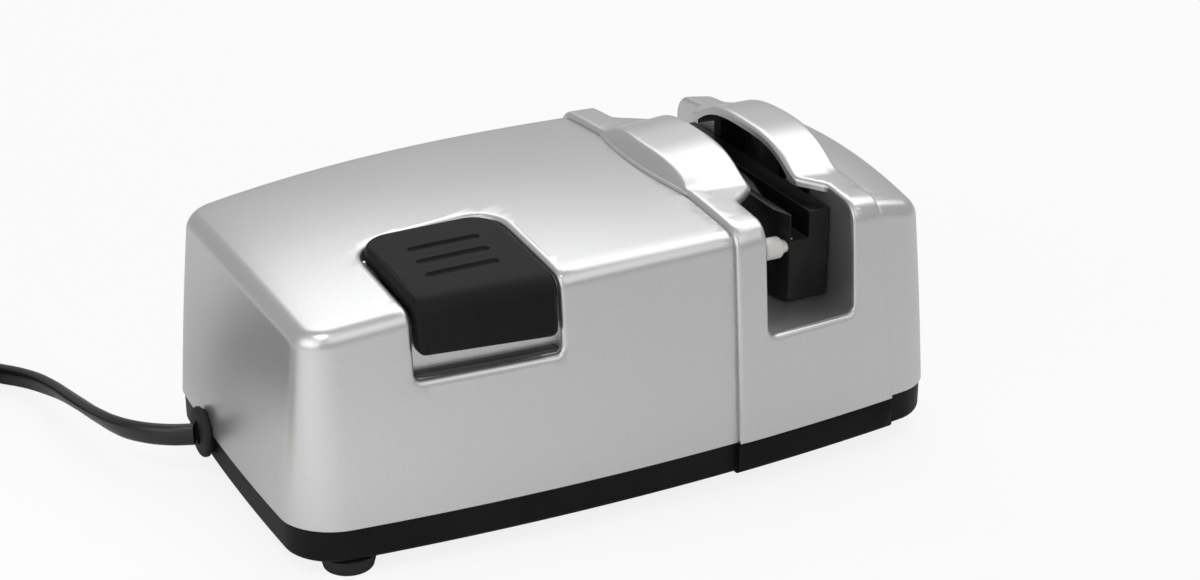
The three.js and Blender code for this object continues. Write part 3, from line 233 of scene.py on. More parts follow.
# %% Shader expressions
class Wire:
    def __init__(self, tree, socket):
        self.tree, self.socket = tree, socket

    def _math(self, operation, *values):
        return shade(self.tree, "ShaderNodeMath", {"operation": operation}, dict(enumerate(values)))

    def __add__(self, other):
        return self._math("ADD", self, other)

    def __sub__(self, other):
        return self._math("SUBTRACT", self, other)

    def __rsub__(self, other):
        return self._math("SUBTRACT", other, self)

    def __mul__(self, other):
        return self._math("MULTIPLY", self, other)

    __radd__, __rmul__ = __add__, __mul__

    def step(self, low, high):
        """0 below low, 1 above high, smooth between."""
        settings = {"interpolation_type": "SMOOTHSTEP"}
        inputs = {"Value": self, "From Min": low, "From Max": high}
        return shade(self.tree, "ShaderNodeMapRange", settings, inputs)


def shade(tree, kind, settings=None, inputs=None, output=0):
    node = tree.nodes.new(kind)
    for name, value in (settings or {}).items():
        setattr(node, name, value)
    for name, value in (inputs or {}).items():
        if isinstance(value, Wire):
            tree.links.new(value.socket, node.inputs[name])
        else:
            node.inputs[name].default_value = value
    return Wire(tree, node.outputs[output])


def noise(tree, place, scale, detail=2.0, roughness=0.5):
    inputs = {"Vector": place, "Scale": scale, "Detail": detail, "Roughness": roughness}
    return shade(tree, "ShaderNodeTexNoise", {}, inputs)


def blend_colours(tree, share, first, second):
    settings = {"data_type": "RGBA", "clamp_factor": True}
    return shade(tree, "ShaderNodeMix", settings, {0: share, 6: (*first, 1), 7: (*second, 1)}, output=2)


def finish_of(name, build):
    """A material whose Principled shader takes what build returns: sockets, with values or wires."""
    material = bpy.data.materials.new(name)
    material.use_nodes = True
    tree = material.node_tree
    surface = tree.nodes["Principled BSDF"]
    place = shade(tree, "ShaderNodeTexCoord", output=3)
    for socket, value in build(tree, place).items():
        if isinstance(value, Wire):
            tree.links.new(value.socket, surface.inputs[socket])
        else:
            surface.inputs[socket].default_value = value
    return material


def bumped(tree, height, strength, depth_mm):
    inputs = {"Height": height, "Strength": strength, "Distance": depth_mm * MM}
    return shade(tree, "ShaderNodeBump", {}, inputs)


# %% [markdown]
# The shells are moulded plastic sprayed with silver: a metallic coat with a fine grain that breaks
# reflections up, and a slow drift in its gloss. The blacks are one family: each has its own grain and
# shine, and a drift that makes it a little lighter in places, as handled plastic is.


# %% Silver paint and blacks
def silver_paint(tree, place):
    grain = noise(tree, place, 5200.0, 2.0, 0.6)
    drift = noise(tree, place, 38.0, 2.0, 0.5)
    return {
        "Base Color": blend_colours(tree, grain.step(0.3, 0.7), (0.57, 0.57, 0.572), (0.63, 0.63, 0.632)),
        "Metallic": 0.9,
        "Roughness": 0.31 + 0.05 * drift,
        "Normal": bumped(tree, grain, 0.1, 0.01),
    }


def satin_black(colour, roughness, texture_scale, texture_depth, shine=0.25, lift=1.6):
    def build(tree, place):
        grain = noise(tree, place, texture_scale, 3.0, 0.6)
        drift = noise(tree, place, 60.0, 2.0, 0.5)
        lighter = tuple(c * lift for c in colour)
        return {
            "Base Color": blend_colours(tree, drift.step(0.3, 0.75), colour, lighter),
            "Roughness": roughness + 0.1 * (drift - 0.5) + 0.06 * grain,
            "Specular IOR Level": shine,
            "Normal": bumped(tree, grain, 0.3, texture_depth),
        }
    return build


# %% [markdown]
# Bare metal is known by the streaks of its machining, a noise stretched along one axis. Bonded grit is
# matt and rough, nylon lets a little light in, and the windings are bands of copper wire. An image
# could show each of them. Noise needs no file, and stays sharp close up.


# %% Metals, grit, nylon and windings
def metal(colour, roughness, stretch=(1, 1, 1), darker=0.8):
    """Machined or drawn metal: streaks are a noise stretched along one axis."""
    def build(tree, place):
        settings = {"vector_type": "POINT"}
        stretched = shade(tree, "ShaderNodeMapping", settings, {"Vector": place, "Scale": stretch})
        streak = noise(tree, stretched, 900.0, 3.0, 0.6)
        dull = noise(tree, place, 120.0, 2.0, 0.5)
        dark = tuple(c * darker for c in colour)
        return {
            "Base Color": blend_colours(tree, dull.step(0.3, 0.8), colour, dark),
            "Metallic": 1.0,
            "Roughness": roughness + 0.12 * (streak - 0.5) + 0.08 * dull,
            "Normal": bumped(tree, streak, 0.15, 0.01),
        }
    return build


def grinding_stone(tree, place):
    grit = noise(tree, place, 2200.0, 4.0, 0.7)
    patch = noise(tree, place, 260.0, 2.0, 0.5)
    return {
        "Base Color": blend_colours(tree, grit.step(0.3, 0.7), (0.5, 0.47, 0.42), (0.76, 0.73, 0.68)),
        "Roughness": 0.82 + 0.12 * patch,
        "Normal": bumped(tree, grit, 0.7, 0.08),
    }


def white_nylon(tree, place):
    cloud = noise(tree, place, 150.0, 2.0, 0.5)
    return {
        "Base Color": blend_colours(tree, cloud.step(0.3, 0.7), (0.78, 0.77, 0.73), (0.86, 0.85, 0.82)),
        "Roughness": 0.38 + 0.1 * cloud,
        "Subsurface Weight": 0.1,
        "Subsurface Scale": 0.002,
        "Normal": bumped(tree, cloud, 0.1, 0.02),
    }


def wound_copper(tree, place):
    settings = {"wave_type": "BANDS", "bands_direction": "X"}
    wires = shade(tree, "ShaderNodeTexWave", settings, {"Vector": place, "Scale": 900.0, "Distortion": 1.5})
    return {
        "Base Color": blend_colours(tree, wires, (0.35, 0.13, 0.05), (0.72, 0.36, 0.2)),
        "Metallic": 0.9,
        "Roughness": 0.34 + 0.12 * wires,
        "Normal": bumped(tree, wires, 0.5, 0.1),
    }


# %% [markdown]
# Each finish now gets its colour, its roughness and the scale of its grain. The photograph sets the
# silver, the blacks and the white; the finishes of hidden pieces are those usual for such parts.

# %% The finishes
silver = finish_of("silver_paint", silver_paint)
base_black = finish_of("base_black", satin_black((0.004, 0.004, 0.0042), 0.45, 1800.0, 0.02, shine=0.12))
button_black = finish_of("button_black", satin_black((0.0075, 0.0075, 0.0078), 0.46, 2400.0, 0.03, shine=0.1))
guide_black = finish_of("guide_black", satin_black((0.006, 0.006, 0.007), 0.3, 1200.0, 0.01))
# painted shade: this dark grey stands for the shade under the lever, on the strip at the foot of the recess
painted_shade_strip = finish_of("painted_shade_strip", satin_black((0.045, 0.045, 0.047), 0.42, 1800.0, 0.02, shine=0.2))
rubber_black = finish_of("rubber_black", satin_black((0.011, 0.011, 0.011), 0.6, 1500.0, 0.04))
cord_black = finish_of("cord_black", satin_black((0.006, 0.006, 0.006), 0.3, 700.0, 0.015, shine=0.5))
ferrite = finish_of("ferrite", satin_black((0.045, 0.045, 0.05), 0.75, 900.0, 0.06))
steel = finish_of("steel", metal((0.56, 0.57, 0.59), 0.28, (0.1, 1, 1)))
brass = finish_of("brass", metal((0.62, 0.46, 0.2), 0.3, (1, 1, 0.15)))
copper = finish_of("copper", wound_copper)
nylon = finish_of("nylon", white_nylon)
stone = finish_of("grinding_stone", grinding_stone)
print(f"{len(bpy.data.materials)} finishes")

# %% [markdown]
# A piece gets its finish and the body that it moves with, and the solids that it stands for are hidden,
# all in one call.


# %% Put finishes on
def dress(piece, material):
    piece.data.materials.clear()
    piece.data.materials.append(material)


def smooth(piece, angle=35):
    activate(piece)
    bpy.ops.object.shade_smooth_by_angle(angle=math.radians(angle))


def finish_piece(piece, material, body, slot, *replaced):
    dress(piece, material)
    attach(piece, body)
    if replaced:
        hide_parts(*replaced)


dress(cord, cord_black)
smooth(cord, 60)
print(f"the cord wears {cord.data.materials[0].name}")

# %% [markdown]
# ## Shells
# Three silver shells share one form: walls that lean in and bow out, corners that round the plan, and
# a crowned top that falls away to both ends. The formulas of the solid are used again with many more
# steps, so the curves and their reflections run clean.

# %% Form of the body
body_length, body_depth = 159.0, 93.6
shell_top_z, shell_foot_z = 61.9, 11.9
corner_left, corner_right = 11.0, 9.0
side_bow, bow_centre_x, end_bulge = 5.5, -7.5, 1.4
wall_lean, wall_barrel = 3.0, 0.8
top_edge = 3.5
top_crown, top_fall, right_fall, right_crown_gain = 2.7, 6.8, 4.2, 1.8
wall, gap, least_radius = 2.0, 0.3, 0.6
left_seam_x, right_seam_top_x, right_seam_foot_x = 22.7, 61.4, 65.5
base_foot_z, head_proud = 4.0, 1.3
corner_steps, long_steps, end_steps = 12, 44, 26
wall_shares, edge_turns = np.linspace(0, 1, 9), np.linspace(0, np.pi / 2, 9)[1:]
crown_shares = np.linspace(0.94, 0.06, 12)
far, deep, tall = 160.0, -20.0, 90.0


def outline(inset):
    half_x, half_y = body_length / 2 - inset, body_depth / 2 - inset
    right, left = max(corner_right - inset, least_radius), max(corner_left - inset, least_radius)
    arcs = []
    for quarter, (sx, sy, r) in enumerate([(1, 1, right), (-1, 1, left), (-1, -1, left), (1, -1, right)]):
        turn = (quarter + np.linspace(0, 1, corner_steps + 1)) * np.pi / 2
        x, y = sx * (half_x - r) + r * np.cos(turn), sy * (half_y - r) + r * np.sin(turn)
        arcs.append(np.column_stack([x, y]))
    points = []
    for quarter, arc in enumerate(arcs):
        points.extend(arc)
        steps = end_steps if quarter % 2 else long_steps
        ahead = arcs[(quarter + 1) % 4][0]
        points.extend(arc[-1] + (ahead - arc[-1]) * i / steps for i in range(1, steps))
    x, y = np.array(points).T
    along, bowed, across = x / (body_length / 2), (x - bow_centre_x) / (body_length / 2), y / (body_depth / 2)
    return np.column_stack([x - end_bulge * along * across**2, y - side_bow * across * bowed**2])


def top_height(x, y):
    left = np.maximum(left_seam_x - x, 0) / (body_length / 2 + left_seam_x)
    right = (np.maximum(x - left_seam_x, 0) / (body_length / 2 - left_seam_x)) ** 4
    across = y / (body_depth / 2)
    crown = top_crown * (1 + right_crown_gain * right)
    return shell_top_z - top_fall * left**2.6 - right_fall * right - crown * across**2


def body_rings(proud=0.0, foot_z=shell_foot_z, tilt=0.0, tilt_x=0.0):
    radius = max(top_edge + proud, least_radius)

    def top_at(x, y):
        return top_height(x, y) + proud + tilt * (x - tilt_x)

    lean = wall_lean + wall_barrel
    rings = []
    for share in wall_shares:
        x, y = outline(wall_lean * share + wall_barrel * share**2 - proud).T
        rings.append(np.column_stack([x, y, shell_foot_z + share * (top_at(x, y) - radius - shell_foot_z)]))
    if foot_z < shell_foot_z:
        rings.insert(0, rings[0] * (1, 1, 0) + (0, 0, foot_z))
    for turn in edge_turns:
        x, y = outline(lean - proud + radius * (1 - math.cos(turn))).T
        rings.append(np.column_stack([x, y, top_at(x, y) - radius * (1 - math.sin(turn))]))
    x, y = rings[-1][:, 0], rings[-1][:, 1]
    for share in crown_shares:
        rings.append(np.column_stack([x * share, y * share, top_at(x * share, y * share)]))
    return rings


def body_solid(name, proud=0.0, foot_z=shell_foot_z, tilt=0.0, tilt_x=0.0):
    return loft(name, body_rings(proud, foot_z, tilt, tilt_x))


print(f"one ring of the body has {len(outline(0))} points")


# %% [markdown]
# Openings are cut with booleans, as a mill would. A rim is then rounded by a second cutter: the small
# corner that a rounding takes away is swept along the edge and subtracted, so the round is real
# geometry and follows the curved skin.


# %% Cutting tools
def prism(name, points, low, high, axis="Z"):
    """A plan of (x, y) points pushed along Z, or a front of (x, z) points pushed along Y."""
    rings = [[(a, level, b) if axis == "Y" else (a, b, level) for a, b in points] for level in (low, high)]
    return loft(name, rings)


def block(name, x0, x1, y0, y1, z0, z1):
    """A cube added at its size and place."""
    middle = [(a + b) / 2 * MM for a, b in ((x0, x1), (y0, y1), (z0, z1))]
    bpy.ops.mesh.primitive_cube_add(size=MM, location=middle)
    piece = bpy.context.object
    piece.name = name
    piece.scale = (x1 - x0, y1 - y0, z1 - z0)
    settle(piece)
    return piece


def rod(name, radius, start, end, steps=32):
    """A round bar between two points that differ along one axis only."""
    bpy.ops.mesh.primitive_cylinder_add(vertices=steps, radius=radius * MM, depth=math.dist(start, end) * MM)
    piece = bpy.context.object
    piece.name = name
    axis = [i for i in range(3) if abs(start[i] - end[i]) > 1e-6][0]
    piece.rotation_euler = [(0, math.pi / 2, 0), (math.pi / 2, 0, 0), (0, 0, 0)][axis]
    piece.location = [(a + b) / 2 * MM for a, b in zip(start, end)]
    settle(piece)
    return piece


def settle(piece):
    """Puts an object's place into its mesh."""
    activate(piece)
    bpy.ops.object.transform_apply(location=True, rotation=True, scale=True)


def combine(piece, tool, operation, keep=False):
    activate(piece)
    modifier = piece.modifiers.new("combine", "BOOLEAN")
    modifier.operation = operation
    modifier.object = tool
    modifier.solver = "MANIFOLD"
    bpy.ops.object.modifier_apply(modifier=modifier.name)
    if not len(piece.data.polygons):
        raise RuntimeError(f"{operation} of {tool.name} left nothing of {piece.name}")
    if not keep:
        bpy.data.objects.remove(tool)
    return piece


def cut(piece, *tools):
    for tool in tools:
        combine(piece, tool, "DIFFERENCE")
    return piece


def join(piece, *tools):
    for tool in tools:
        combine(piece, tool, "UNION")
    return piece


def common(piece, *tools):
    for tool in tools:
        combine(piece, tool, "INTERSECT")
    return piece


def arc(cx, cy, radius, start, end, steps=8):
    turn = np.radians(np.linspace(start, end, steps + 1))
    return [(cx + radius * math.cos(t), cy + radius * math.sin(t)) for t in turn]


# %% [markdown]
# To follow a rim, rays are shot at the uncut skin: straight in, straight down, or round a hub where the
# skin turns from wall to top. A bevel modifier could round a boolean's edge, but it tears where the
# mesh is uneven there, and the swept corner doesn't.


# %% Rounding a rim
rim_spacing, rim_past, rim_over, rim_lift, rim_reach = 0.8, 0.3, 0.1, 0.03, 0.8


def tree_of(*pieces):
    points, faces = [], []
    for piece in pieces:
        base = len(points)
        points += [v.co / MM for v in piece.data.vertices]
        faces += [[base + i for i in p.vertices] for p in piece.data.polygons]
    return BVHTree.FromPolygons(points, faces)


def skin_point(tree, origin, direction):
    """The first point of the skin on a ray that comes from outside, with its normal."""
    place, normal, _, _ = tree.ray_cast(Vector(origin), Vector(direction))
    return (np.array(place), np.array(normal)) if place else None


def skin_toward(tree, hub, angle, side=1):
    """The skin on a ray that comes in to a hub, at an angle above the horizontal."""
    out = np.array((0, side * math.cos(angle), math.sin(angle)))
    return skin_point(tree, np.array(hub) + far * out, -out)


def skin_fan(tree, hub, angles, side=1):
    return [skin_toward(tree, hub, angle, side) for angle in np.radians(angles)]


def even_path(places, normals, spacing, closed, soften=2):
    """The path at even steps, with its normals evened out."""
    places, normals = np.array(places), np.array(normals)
    if closed:
        places, normals = np.vstack([places, places[:1]]), np.vstack([normals, normals[:1]])
    run = np.r_[0, np.cumsum(np.linalg.norm(np.diff(places, axis=0), axis=1))]
    count = max(int(run[-1] / spacing), 4)
    at = np.linspace(0, run[-1], count, endpoint=not closed)
    place = np.column_stack([np.interp(at, run, places[:, k]) for k in range(3)])
    normal = np.column_stack([np.interp(at, run, normals[:, k]) for k in range(3)])
    for _ in range(soften):
        ahead, behind = np.roll(normal, -1, axis=0), np.roll(normal, 1, axis=0)
        if not closed:
            ahead[-1], behind[0] = normal[-1], normal[0]
        normal = (ahead + behind + 2 * normal) / 4
    return place, normal / np.linalg.norm(normal, axis=1)[:, None]


def round_rim(piece, path, radius, closed, keep=None, opening=None):
    """Takes the corner off an edge. keep is a point on the material's side of it, opening one in the hole."""
    place, normal = even_path(*path, rim_spacing, closed)
    ahead, behind = np.roll(place, -1, axis=0), np.roll(place, 1, axis=0)
    if not closed:
        ahead[-1], behind[0] = place[-1], place[0]
    along = ahead - behind
    along /= np.linalg.norm(along, axis=1)[:, None]
    side = np.cross(along, normal)
    side /= np.linalg.norm(side, axis=1)[:, None]
    inward = place - opening if keep is None else keep - place
    if (side * inward).sum() < 0:
        side = -side
    turn = np.radians(np.linspace(180, 90, 7))
    profile = [(-rim_past, -radius)]
    profile += [(radius + radius * math.cos(t), radius * math.sin(t) - radius) for t in turn]
    profile += [(radius + rim_over, rim_lift), (radius + rim_over, rim_reach), (-rim_past, rim_reach)]
    rings = np.array([place + side * a + normal * b for a, b in profile])
    return cut(piece, loft("rounding", np.swapaxes(rings, 0, 1), closed))


# %% [markdown]
# ### Main shell
# It covers the motor and has the deep recess that the button sits in: two legs run down the front,
# a ledge closes it below, and the back corners are round.

# %% Recess for the button
button_left_x, button_right_x, button_back_y, button_corner = -50.7, -19.8, -8.8, 6.5
button_clearance = 0.8
recess_front_z, recess_floor_z, recess_depth, recess_foot_corner = 41.9, 52.5, 3.8, 1.2
recess_round, leg_low = 1.5, -25
front_hub_y, hub_z = -36.0, 49.0
button_middle_x = (button_left_x + button_right_x) / 2


def button_plan(grow):
    left, right, back = button_left_x - grow, button_right_x + grow, button_back_y + grow
    r = button_corner + grow
    corners = arc(right - r, back - r, r, 0, 90) + arc(left + r, back - r, r, 90, 180)
    return [(left, -far), (right, -far), *corners]


def recess_front(grow):
    """The recess as seen from the front, with small round lower corners."""
    left, right = button_left_x - button_clearance - grow, button_right_x + button_clearance + grow
    r, low = recess_foot_corner, recess_front_z - grow
    corners = arc(left + r, low + r, r, 180, 270) + arc(right - r, low + r, r, 270, 360)
    return [(left, tall), *corners, (right, tall)]


def recess_space(grow):
    plan = button_plan(button_clearance + grow)
    top = prism("recess_top", plan, recess_floor_z - grow, tall)
    front = prism("recess_front", plan, deep, tall)
    common(front, prism("front_form", recess_front(grow), -far, far, "Y"))
    cut(front, body_solid("behind_skirt", -recess_depth - grow, deep))
    return join(top, front)


def recess_rim(tree):
    """Walks round the recess on the skin: along the ledge, up the right, round the back, down the left."""
    left, right = button_left_x - button_clearance, button_right_x + button_clearance
    back, r = button_back_y + button_clearance, button_corner + button_clearance
    foot, low = recess_foot_corner, recess_front_z
    floor = arc(left + foot, low + foot, foot, 180, 270) + arc(right - foot, low + foot, foot, 270, 360)
    up = np.linspace(leg_low, 90, 60)
    found = [skin_point(tree, (x, -far, z), (0, 1, 0)) for x, z in floor]
    found += skin_fan(tree, (right, front_hub_y, hub_z), up, -1)
    corners = arc(right - r, back - r, r, 0, 90) + arc(left + r, back - r, r, 90, 180)
    found += [skin_point(tree, (x, y, tall), (0, 0, -1)) for x, y in corners]
    found += skin_fan(tree, (left, front_hub_y, hub_z), up[::-1], -1)
    return zip(*found)


print(f"recess {button_right_x - button_left_x + 2 * button_clearance:.1f} mm wide")

# %% [markdown]
# The shell is the body with a smaller body taken out of it, so its wall is even. What the wall has to
# go round, the recess and the screw bosses, is first taken off the smaller body.

# %% Main shell
left_bosses = [(-52.0, 35.5), (-52.0, -35.5)]
boss_radius, boss_foot_z, screw_hole_radius, screw_depth = 3.8, 6.7, 1.9, 12.0
pin_y, pin_z, pin_radius, pin_slack, pin_reach = -13.0, 55.8, 1.25, 0.1, 2.5
switch_x, switch_y, plunger_hole, plunger_hole_foot = -35.2, -31.0, 2.2, 48.0
grommet_y, grommet_z, grommet_neck, grommet_hole_end = 14.5, 10.7, 4.6, -60.0


def bosses_at(places):
    return [rod("boss", boss_radius, (x, y, boss_foot_z), (x, y, tall)) for x, y in places]


def screw_holes_at(places):
    return [rod("hole", screw_hole_radius, (x, y, deep), (x, y, boss_foot_z + screw_depth)) for x, y in places]


def pin_hole(start, end):
    return rod("pin_hole", pin_radius + pin_slack, (start, pin_y, pin_z), (end, pin_y, pin_z))


def grommet_hole():
    ends = [(x, grommet_y, grommet_z) for x in (-far, grommet_hole_end)]
    return rod("grommet_hole", grommet_neck + gap, *ends)


hollow = cut(body_solid("hollow", -wall, deep), recess_space(wall), *bosses_at(left_bosses))
main_shell = body_solid("shell_main")
main_skin = tree_of(main_shell)
cut(main_shell, hollow, recess_space(0))
recess_middle = np.array([button_middle_x, -34.0, 58.0])
round_rim(main_shell, recess_rim(main_skin), recess_round, True, opening=recess_middle)
cut(
    main_shell,
    pin_hole(button_left_x - pin_reach, button_right_x + pin_reach),
    grommet_hole(),
    rod("plunger_hole", plunger_hole, (switch_x, switch_y, plunger_hole_foot), (switch_x, switch_y, tall)),
    *screw_holes_at(left_bosses),
    block("right_of_seam", left_seam_x - gap / 2, far, -far, far, deep, tall),
)
print(f"main shell {len(main_shell.data.polygons)} faces before its seam is rounded")

# %% [markdown]
# Where two shells meet, the real mouldings have a fine radius, and a step behind the joint closes the
# view into the body. The radius is the same swept corner as above. The step is a slice of a second,
# smaller body, joined to the shell, so that it runs along the curved skin by itself. Only the left
# seam has it: the right one is a thin dark line in the photograph.


# %% Edges at a seam
seam_hub_z, seam_start, seam_points, seam_tries = 30.0, -21.0, 240, 4
seam_radius, seam_slack, lip_depth, lip_reach, touch = 0.3, 0.01, 0.25, 0.6, 0.01


def seam_edge(tree, x_at):
    """Points of the skin along a seam: x_at gives the seam's x at a height."""
    found = []
    for angle in np.radians(np.linspace(seam_start, 180 - seam_start, seam_points)):
        x = x_at(shell_top_z / 2)
        for _ in range(seam_tries):
            hit = skin_toward(tree, (x, 0, seam_hub_z), angle)
            x = x_at(hit[0][2])
        found.append(hit)
    return zip(*found)


def far_point(side):
    """A point on the material's side of a seam: far to the left of it with -1, to the right with 1."""
    return np.array((side * far, 0, seam_hub_z))


main_edge = left_seam_x - gap / 2
seam_path = seam_edge(main_skin, lambda z: main_edge - seam_slack)
round_rim(main_shell, seam_path, seam_radius, False, keep=far_point(-1))
lip = cut(body_solid("lip", -lip_depth), body_solid("inside", -wall, deep))
lip_ends = main_edge - lip_reach, left_seam_x + gap / 2 - touch
join(main_shell, common(lip, block("lip_span", *lip_ends, -far, far, deep, tall)))
smooth(main_shell)
finish_piece(main_shell, silver, "housing", "silver", "main_shell")
print(f"main shell {len(main_shell.data.polygons)} faces")

# %% [markdown]
# Painted shade: a thin dark grey strip lies on the ledge under the lever, at the foot of the recess, and stands for
# the shade that the lever casts there. It is what lies between two sizes of the body's skin, cut to a low block, so
# its front follows the wall.


# %% Painted shade: dark strip at the foot of the recess
strip_in, strip_high, strip_edge, strip_slack, strip_back_y = 1.6, 0.8, 0.2, 0.1, -30.0


def soft_edges(piece, width, segments=2, angle=30):
    """A bevel on every edge that is sharper than the angle."""
    bevel = piece.modifiers.new("soft edges", "BEVEL")
    bevel.width, bevel.segments, bevel.limit_method = width * MM, segments, "ANGLE"
    bevel.angle_limit = math.radians(angle)
    return bevel


strip = block(
    "recess_shade_strip", button_left_x - button_clearance + strip_slack, button_right_x + button_clearance - strip_slack,
    -far, strip_back_y, recess_front_z - strip_slack, recess_front_z + strip_high,
)
common(strip, body_solid("strip_front", -strip_in, deep))
cut(strip, body_solid("strip_back", -recess_depth, deep))
bpy.ops.object.modifier_apply(modifier=soft_edges(strip, strip_edge).name)
smooth(strip)
finish_piece(strip, painted_shade_strip, "housing", "black_plastic")
print(f"recess strip {len(strip.data.polygons)} faces")

# %% [markdown]
# ### Head cover
# The head stands a little proud of its neighbours. An arch over it, the hump, is divided by the slot,
# and both ends of the slot open into a square notch. Its edges are well rounded and catch light.
#
# The hump flows out of the top without an edge. Sculpting could make it, but a formula for its height
# is exact: the greater of the arch and the top, with a smooth hollow where they meet.

# %% Height of the hump
hump_top_z, hump_rise, hump_half, hump_bulge = 68.1, 6.4, 22.5, 3.0
hump_slope, hump_power = 1.2, 3.2
slot_left_x, slot_right_x, slot_half = 37.3, 48.5, 24.0
notch_left_x, notch_right_x, notch_floor_z, notch_start_y = 30.7, 53.9, 35.3, 29.5
notch_corner = 2.0
hump_reach, hump_flow, hump_bead, hump_round, hump_draft = 1.3, 2.6, 0.8, 1.5, 0.42
hump_bead_turn, hump_sections, hump_across, hump_sink = 1.25, 97, 40, 0.02
calm_edge, calm_width, calm_least = 0.5, 3.5, 0.02


def flowed(high, low, width):
    """The greater of two heights, with a smooth hollow where they meet."""
    near = np.maximum(width - np.abs(high - low), 0) / width
    return np.maximum(high, low) + near**2 * width / 4


def hump_height(x, y, shrink=0.0):
    slope = hump_slope * max((slot_left_x - x) / (slot_left_x - left_seam_x), 0)
    arch = hump_top_z - hump_rise - slope + hump_rise * (1 - abs(y / hump_half) ** hump_power)
    if shrink:
        return arch - shrink
    inside = min(x - left_seam_x, right_seam_top_x - x)
    width = hump_flow * np.clip((inside - calm_edge) / calm_width, calm_least, 1)
    return flowed(arch, top_height(x, y) + head_proud, width) - hump_sink


hump_crest = hump_height((left_seam_x + right_seam_top_x) / 2, 0)
print(f"hump {hump_crest:.1f} mm high over the floor")

# %% [markdown]
# The left and right faces of the hump stand up from the seams: a small bead, a leaning flank and a round
# shoulder. Sections along the arch make them, and the same function gives the smaller hump that hollows
# the cover.


# %% Sections of the hump
def hump_end(y, side, shrink):
    """The profile of one end face: a small bead at the seam, a leaning face and a round upper edge."""
    bulge = hump_bulge * max(1 - (y / hump_half) ** 2, 0)
    start = (left_seam_x if side < 0 else right_seam_top_x) + side * bulge - side * (gap + shrink)
    foot = top_height(start, y) + gap * 0.2 - shrink
    height = max(hump_height(start, y, shrink) - foot, 0)
    bead, radius = min(hump_bead, 0.4 * height), min(hump_round, 0.5 * height)
    lean = math.atan(hump_draft)
    rows = [(0, -wall)]
    rows += [(bead * (1 - math.cos(t)), bead * math.sin(t)) for t in np.linspace(0, hump_bead_turn, 5)]
    rise = height - radius - bead
    middle = rows[-1][0] + hump_draft * rise + radius / math.cos(lean)
    for t in np.linspace(lean, np.pi / 2, 8):
        rows.append((middle - radius * math.cos(t), height - radius * (1 - math.sin(t))))
    points = []
    for inward, up in rows:
        x = start - side * inward
        drop = hump_height(x, y, shrink) - foot - height
        points.append((x, y, foot + up + drop * np.clip((up - bead) / max(height - bead, 1e-6), 0, 1)))
    return points


def hump_solid(shrink):
    """Sections along the arch, each from its left face over the top to its right one, closed below."""
    half = hump_half - shrink if shrink else hump_half * hump_reach
    rings = []
    for y in half * np.sin(np.linspace(-np.pi / 2, np.pi / 2, hump_sections)):
        left, right = hump_end(y, -1, shrink), hump_end(y, 1, shrink)
        x0, x1 = left[-1][0], right[-1][0]
        over = [(x, y, hump_height(x, y, shrink)) for x in np.linspace(x0, x1, hump_across)[1:-1]]
        low = notch_floor_z + wall
        rings.append([(left[0][0], y, low), *left, *over, *right[::-1], (right[0][0], y, low)])
    return loft("hump", rings)


hump = hump_solid(0)
print(f"hump {len(hump.data.polygons)} faces")

# %% [markdown]
# The slot is straight in the middle and splays out to the notches. Its corners in plan are round, so
# a helper rounds any closed outline, as a draughtsman does with a compass.


# %% Round the corners of an outline
def rounded(points, radii, steps=6):
    """A closed outline with its corners rounded."""
    out = []
    for i, r in enumerate(radii):
        before, here, after = (np.array(points[(i + k) % len(points)], float) for k in (-1, 0, 1))
        if not r:
            out.append(tuple(here))
            continue
        u, v = (before - here) / np.linalg.norm(before - here), (after - here) / np.linalg.norm(after - here)
        half = math.acos(np.clip(u @ v, -1, 1)) / 2
        start, end = here + u * r / math.tan(half), here + v * r / math.tan(half)
        middle = here + (u + v) / np.linalg.norm(u + v) * r / math.sin(half)
        a, b = start - middle, end - middle
        sweep_angle = math.atan2(a[0] * b[1] - a[1] * b[0], a @ b)
        for t in np.linspace(0, sweep_angle, steps + 1):
            c, d = math.cos(t), math.sin(t)
            out.append(tuple(middle + (a[0] * c - a[1] * d, a[0] * d + a[1] * c)))
    return out


# %% [markdown]
# One cutter in plan, narrowed by the form of the notch in front view, makes slot and notches together.

# %% Slot and notches
splay_corner = 2.2
left_side = [(notch_left_x, -far), (notch_left_x, -notch_start_y), (slot_left_x, -slot_half)]
left_side += [(x, -y) for x, y in reversed(left_side)]
right_side = [(notch_right_x, y) for y in (far, notch_start_y)] + [(slot_right_x, slot_half)]
right_side += [(x, -y) for x, y in reversed(right_side)]
side_radii = [0, splay_corner, splay_corner, splay_corner, splay_corner, 0]
slot_plan = rounded(left_side + right_side, side_radii * 2)
low = notch_floor_z + notch_corner
notch_form = [(notch_left_x, tall), *arc(notch_left_x + notch_corner, low, notch_corner, 180, 270)]
notch_form += [*arc(notch_right_x - notch_corner, low, notch_corner, 270, 360), (notch_right_x, tall)]
slot_hub_y, rim_pace = 34.0, 0.8


def slot_space():
    splayed = prism("splayed", slot_plan, notch_floor_z, tall)
    common(splayed, prism("notch_form", notch_form, -far, far, "Y"))
    straight = block("straight", slot_left_x, slot_right_x, -slot_half, slot_half, notch_floor_z, tall)
    return join(splayed, straight)


print(f"slot plan {len(slot_plan)} points, {slot_right_x - slot_left_x:.1f} mm between its walls")

# %% [markdown]
# The rim of this opening runs over the notch floors, up their legs and over the hump, front and back.
# It is walked in one closed loop, so the rounding has no start or end to show.


